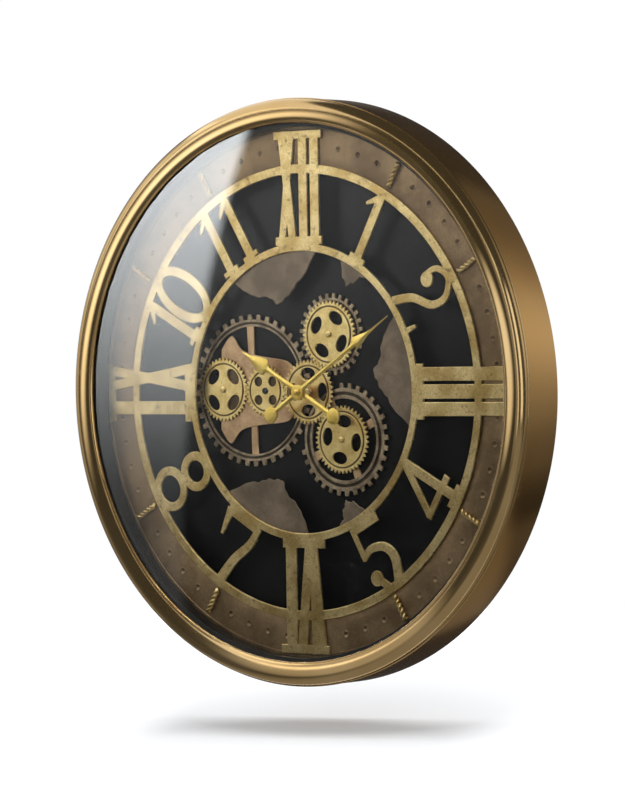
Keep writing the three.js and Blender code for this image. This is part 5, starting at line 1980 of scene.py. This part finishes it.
# fade: direction, start and end along it, and the shares of the glow there
# edge: level, slope and bend of the card's right border over z, and its softness
# spot: middle and half sizes of a soft oval in x and z
# band: middle, inner and outer radius of a soft ring in x and z, and its softness
# ring: the glow by degrees clockwise from the top of the clock
# onlyOn: the one piece that the card lights; through: the glass passes it on, and no mirror shows it
panelShape = {
    "frontFlag": {
        "corners": flatCard("y", -1.1, [
            (-0.7, 0.75), (-0.878, 0.5), (-0.966, 0.337), (-1.027, 0.191), (-1.064, 0.07), (-1.1, -0.134),
            (-1.103, -0.3), (-1.1, -0.9), (0.6, -0.9), (0.6, 1.2), (-0.4, 1.2)]),
        "glow": 0.06,
    },
    "frontRight": {"corners": card("y", -1.1, (0.6, 1.05), (-0.9, 1.2)), "glow": 0.25},
    "glareCard": {
        "corners": flatCard("y", -1.05, [(-0.6, 1.1), (-0.6, -0.6), (-1.7, -0.6), (-1.7, 1.1)]),
        "glow": 50.0, "tone": (0.96, 1.0, 1.01, 1), "onlyOn": "glassPane",
        "fade": ((0, 0, 1), -0.2, 0.65, 0.02, 1),
        "edge": (-1.008, 0.19, 0.38, 0.03),
    },
    "leftSoft": {
        "corners": card("x", -1.0, (-0.8, -0.32), (-0.4, 0.75)),
        "glow": 0.5, "fade": ((0, 0, 1), 0.08, 0.25, 0.2, 1),
    },
    "leftRear": {"corners": card("x", -1.0, (-0.32, 0.6), (-0.4, 0.75)), "glow": 0.08},
    "bezelGlowLeft": {
        "corners": card("y", -0.15, (-0.5, 0.1), (-0.15, 0.4)),
        "glow": 1.7, "onlyOn": "bezelRing",
        "fade": ((-0.707, 0, 0.707), 0.14, 0.26, 0, 1),
        "band": (-0.03, -0.03, 0.248, 0.305, 0.02),
    },
    "bezelGlowSide": {
        "corners": flatCard("x", -0.42, [
            (-0.165, -0.35), (-0.005, -0.35), (-0.005, 0.5), (-0.24, 0.5), (-0.24, 0.26), (-0.165, 0.2)]),
        "glow": 0.5, "onlyOn": "bezelRing",
        "fade": ((0, 0, 1), -0.2, 0.1, 0.25, 1),
    },
    "bezelGlowRight": {
        "corners": card("y", -0.15, (0, 0.35), (-0.12, 0.18)),
        "glow": 0.95, "onlyOn": "bezelRing", "spot": (0.19, 0.03, 0.11, 0.12),
    },
    "bezelGlowLow": {
        "corners": card("y", -0.15, (-0.2, 0.25), (-0.4, -0.1)),
        "glow": 0.42, "onlyOn": "bezelRing", "spot": (0.0, -0.25, 0.19, 0.09),
    },
    "leftLow": {
        "corners": flatCard("y", -1.15, [(-0.85, 0.9), (-2.4, 0.9), (-2.4, -1.2), (-0.85, -1.2)]),
        "glow": 1.4, "fade": ((0, 0, 1), 0, 0.3, 0.06, 1),
    },
    "rightStrip": {"corners": card("x", 1.3, (-0.5, -0.12), (-0.2, 0.75)), "glow": 1.2},
    "rightWall": {"corners": card("x", 1.9, (-1.6, 0.75), (-1.2, 1.5)), "glow": 0.07},
    "ceiling": {"corners": card("z", 1.25, (-0.6, 2.0), (-1.0, 0.8)), "glow": 0.07},
    "backdrop": {
        "corners": card("y", 0.8, (-0.75, 1.9), (-1.3, 1.3)),
        "glow": 1.0,
        "ring": [(-70, 0.3), (-35, 0.05), (15.5, 0.05), (19.5, 0.14), (30, 0.15), (39, 0.19), (47, 0.265),
                 (56, 0.43), (64.5, 0.58), (73, 0.64), (81.5, 0.495), (90, 0.33), (98.5, 0.22), (107, 0.13),
                 (115.5, 0.12), (121, 0.06), (126, 0.045), (131, 0.022), (135, 0.05), (138, 0.1),
                 (160, 0.07), (180, 0.06), (215, 0.06), (246, 0.3)],
    },
    "underside": {
        "corners": [(-2.0, -1.6, -0.42), (1.9, -1.6, -0.42), (1.9, -0.01, -0.38), (-2.0, -0.01, -0.38)],
        "glow": 1.0, "fade": ((0.6, 0.8, 0), -0.3, -0.08, 0.09, 0.28),
    },
    "undersideRear": {
        "corners": [(-1.0, 0.0, -0.37), (1.9, 0.0, -0.37), (1.9, 0.24, -0.36), (-1.0, 0.24, -0.36)],
        "glow": 1.0, "fade": ((1, 0, 0), 0.135, 0.16, 0.045, 0.2),
    },
    "leftCard": {
        "corners": card("x", -1.3, (-0.9, 0.0), (-0.6, 1.0)),
        "glow": 1.6, "fade": ((0, 0, 1), -0.1, 0.4, 0.15, 1), "through": True,
    },
    "dialCard": {
        "corners": card("y", -1.0, (-1.6, 1.8), (-1.2, 1.4)),
        "glow": 1.0, "fade": ((-0.35, 0, 1), 0.08, 0.56, 0.02, 1.55), "through": True,
    },
}


def addWorld():
    world = bpy.data.worlds.new("studioWhite")
    bpy.context.scene.world = world
    world.use_nodes = True
    tree = world.node_tree
    path = Wire.node(tree, "ShaderNodeLightPath")
    seen = path.out("Is Camera Ray").peak(path.out("Is Glossy Ray")).peak(path.out("Is Transmission Ray"))
    background = tree.nodes["Background"]
    background.inputs["Color"].default_value = (1, 1, 1, 1)
    strength = studioShape["worldPlain"] + seen * (1 - studioShape["worldPlain"])
    tree.links.new(strength.socket, background.inputs["Strength"])


def stageMaterial(name):
    material = bpy.data.materials.new(name)
    material.use_nodes = True
    material.node_tree.nodes.clear()
    return material, material.node_tree


def addStagePlane(name, corners, material):
    mesh = bpy.data.meshes.new(name)
    mesh.from_pydata([Vector(c) for c in corners], [], [list(range(len(corners)))])
    mesh.materials.append(material)
    plane = bpy.data.objects.new(name, mesh)
    bpy.context.scene.collection.objects.link(plane)
    plane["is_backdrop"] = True
    return plane


# The floor is clear from below, and neither mirrors nor the glass show it
def addFloor():
    material, tree = stageMaterial("paper")
    lit = Wire.node(tree, "ShaderNodeLightPath").out("Is Camera Ray") * studioShape["floorGlow"]
    diffuse = Wire.node(tree, "ShaderNodeBsdfDiffuse", {"Color": studioShape["floorTone"]})
    glow = Wire.node(tree, "ShaderNodeEmission", {"Strength": lit})
    both = Wire.node(tree, "ShaderNodeAddShader", {0: diffuse, 1: glow})
    below = Wire.node(tree, "ShaderNodeNewGeometry").out("Backfacing")
    clear = Wire.node(tree, "ShaderNodeBsdfTransparent")
    surface = Wire.node(tree, "ShaderNodeMixShader", {0: below, 1: both, 2: clear})
    Wire.node(tree, "ShaderNodeOutputMaterial", {"Surface": surface})
    side, rise = studioShape["floorSide"], math.tan(studioShape["floorTilt"])
    front, back = studioShape["floorFront"], studioShape["floorBack"]
    corners = []
    for x, y in [(-side, front), (side, front), (side, back), (-side, back)]:
        corners.append((x, y, y * rise + x * studioShape["floorLean"] - studioShape["floorDrop"]))
    floor = addStagePlane("paperFloor", corners, material)
    floor.visible_glossy = False
    floor.visible_transmission = False
    return floor


def addLight(name, kind, toward, settings):
    light = bpy.data.lights.new(name, kind)
    for key, value in settings.items():
        setattr(light, key, value)
    holder = bpy.data.objects.new(name, light)
    holder.rotation_euler = Vector(toward).to_track_quat("-Z", "Y").to_euler()
    holder.visible_glossy = False
    bpy.context.scene.collection.objects.link(holder)
    return holder


# The lamps light the clock alone, so the only shadow on the floor is the sun's
def addLamps(floor):
    unlit = bpy.data.collections.new("unlitFloor")
    unlit.objects.link(floor)
    unlit.collection_objects[0].light_linking.link_state = "EXCLUDE"
    for name, lamp in lampShape.items():
        settings = {"shape": "DISK", "size": lamp["size"], "energy": lamp["power"]}
        holder = addLight(name, "AREA", -Vector(lamp["place"]), settings)
        holder.location = lamp["place"]
        holder.light_linking.receiver_collection = unlit
    settings = {"energy": sunShape["strength"], "angle": sunShape["softness"]}
    addLight("overheadSun", "SUN", sunShape["toward"], settings)


def panelGlow(tree, panel):
    place = Wire.node(tree, "ShaderNodeTexCoord").out("Object")
    x, _, z = place.axes()
    glow = panel["glow"]
    if "fade" in panel:
        along, start, end, low, high = panel["fade"]
        reach = place.vector("DOT_PRODUCT", along).out("Value")
        glow = (low + reach.ease(start, end) * (high - low)) * glow
    if "edge" in panel:
        level, slope, bend, soft = panel["edge"]
        glow = glow * (level + z * slope + z * z * bend - x).ease(0, soft)
    if "spot" in panel:
        middleX, middleZ, width, height = panel["spot"]
        across, rise = (x - middleX) / width, (z - middleZ) / height
        glow = glow * (1 - (across * across + rise * rise).ease(0.1, 1))
    if "band" in panel:
        middleX, middleZ, inner, outer, soft = panel["band"]
        glow = glow * between(awayFrom(place, (middleX, middleZ)), inner, outer, soft)
    if "ring" in panel:
        start = panel["ring"][0][0]
        bearing = x.math("ARCTAN2", x, z) * (180 / math.pi)
        turn = x.math("FLOORED_MODULO", bearing - start, 360.0) / 360
        stops = [((angle - start) / 360, (level, level, level, 1)) for angle, level in panel["ring"]]
        glow = Wire.node(tree, "ShaderNodeValToRGB", {0: turn}, {"stops": stops}) * glow
    return glow


# A card that only mirrors see, or only what looks out through the glass
def addPanel(name, panel):
    material, tree = stageMaterial(name)
    light = {"Color": panel.get("tone", (1, 1, 1, 1)), "Strength": panelGlow(tree, panel)}
    surface = Wire.node(tree, "ShaderNodeEmission", light)
    if "onlyOn" in panel:
        clear = Wire.node(tree, "ShaderNodeBsdfTransparent")
        surface = Wire.node(tree, "ShaderNodeAddShader", {0: surface, 1: clear})
    Wire.node(tree, "ShaderNodeOutputMaterial", {"Surface": surface})
    plane = addStagePlane(name, panel["corners"], material)
    plane.visible_camera = False
    plane.visible_diffuse = False
    plane.visible_shadow = False
    plane.visible_transmission = panel.get("through", False)
    plane.visible_glossy = not plane.visible_transmission
    if "onlyOn" in panel:
        lit = bpy.data.collections.new(name + "Lit")
        lit.objects.link(bpy.data.objects[panel["onlyOn"]])
        plane.light_linking.receiver_collection = lit


addWorld()
addLamps(addFloor())
for name, panel in panelShape.items():
    addPanel(name, panel)
bpy.context.scene.view_settings.view_transform = "Standard"
print("studio made")


# Size of the finished model against the solids
def corners(box):
    return [list(corner) for corner in box]


{"cad": corners(cadBox), "visual": corners(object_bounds())}
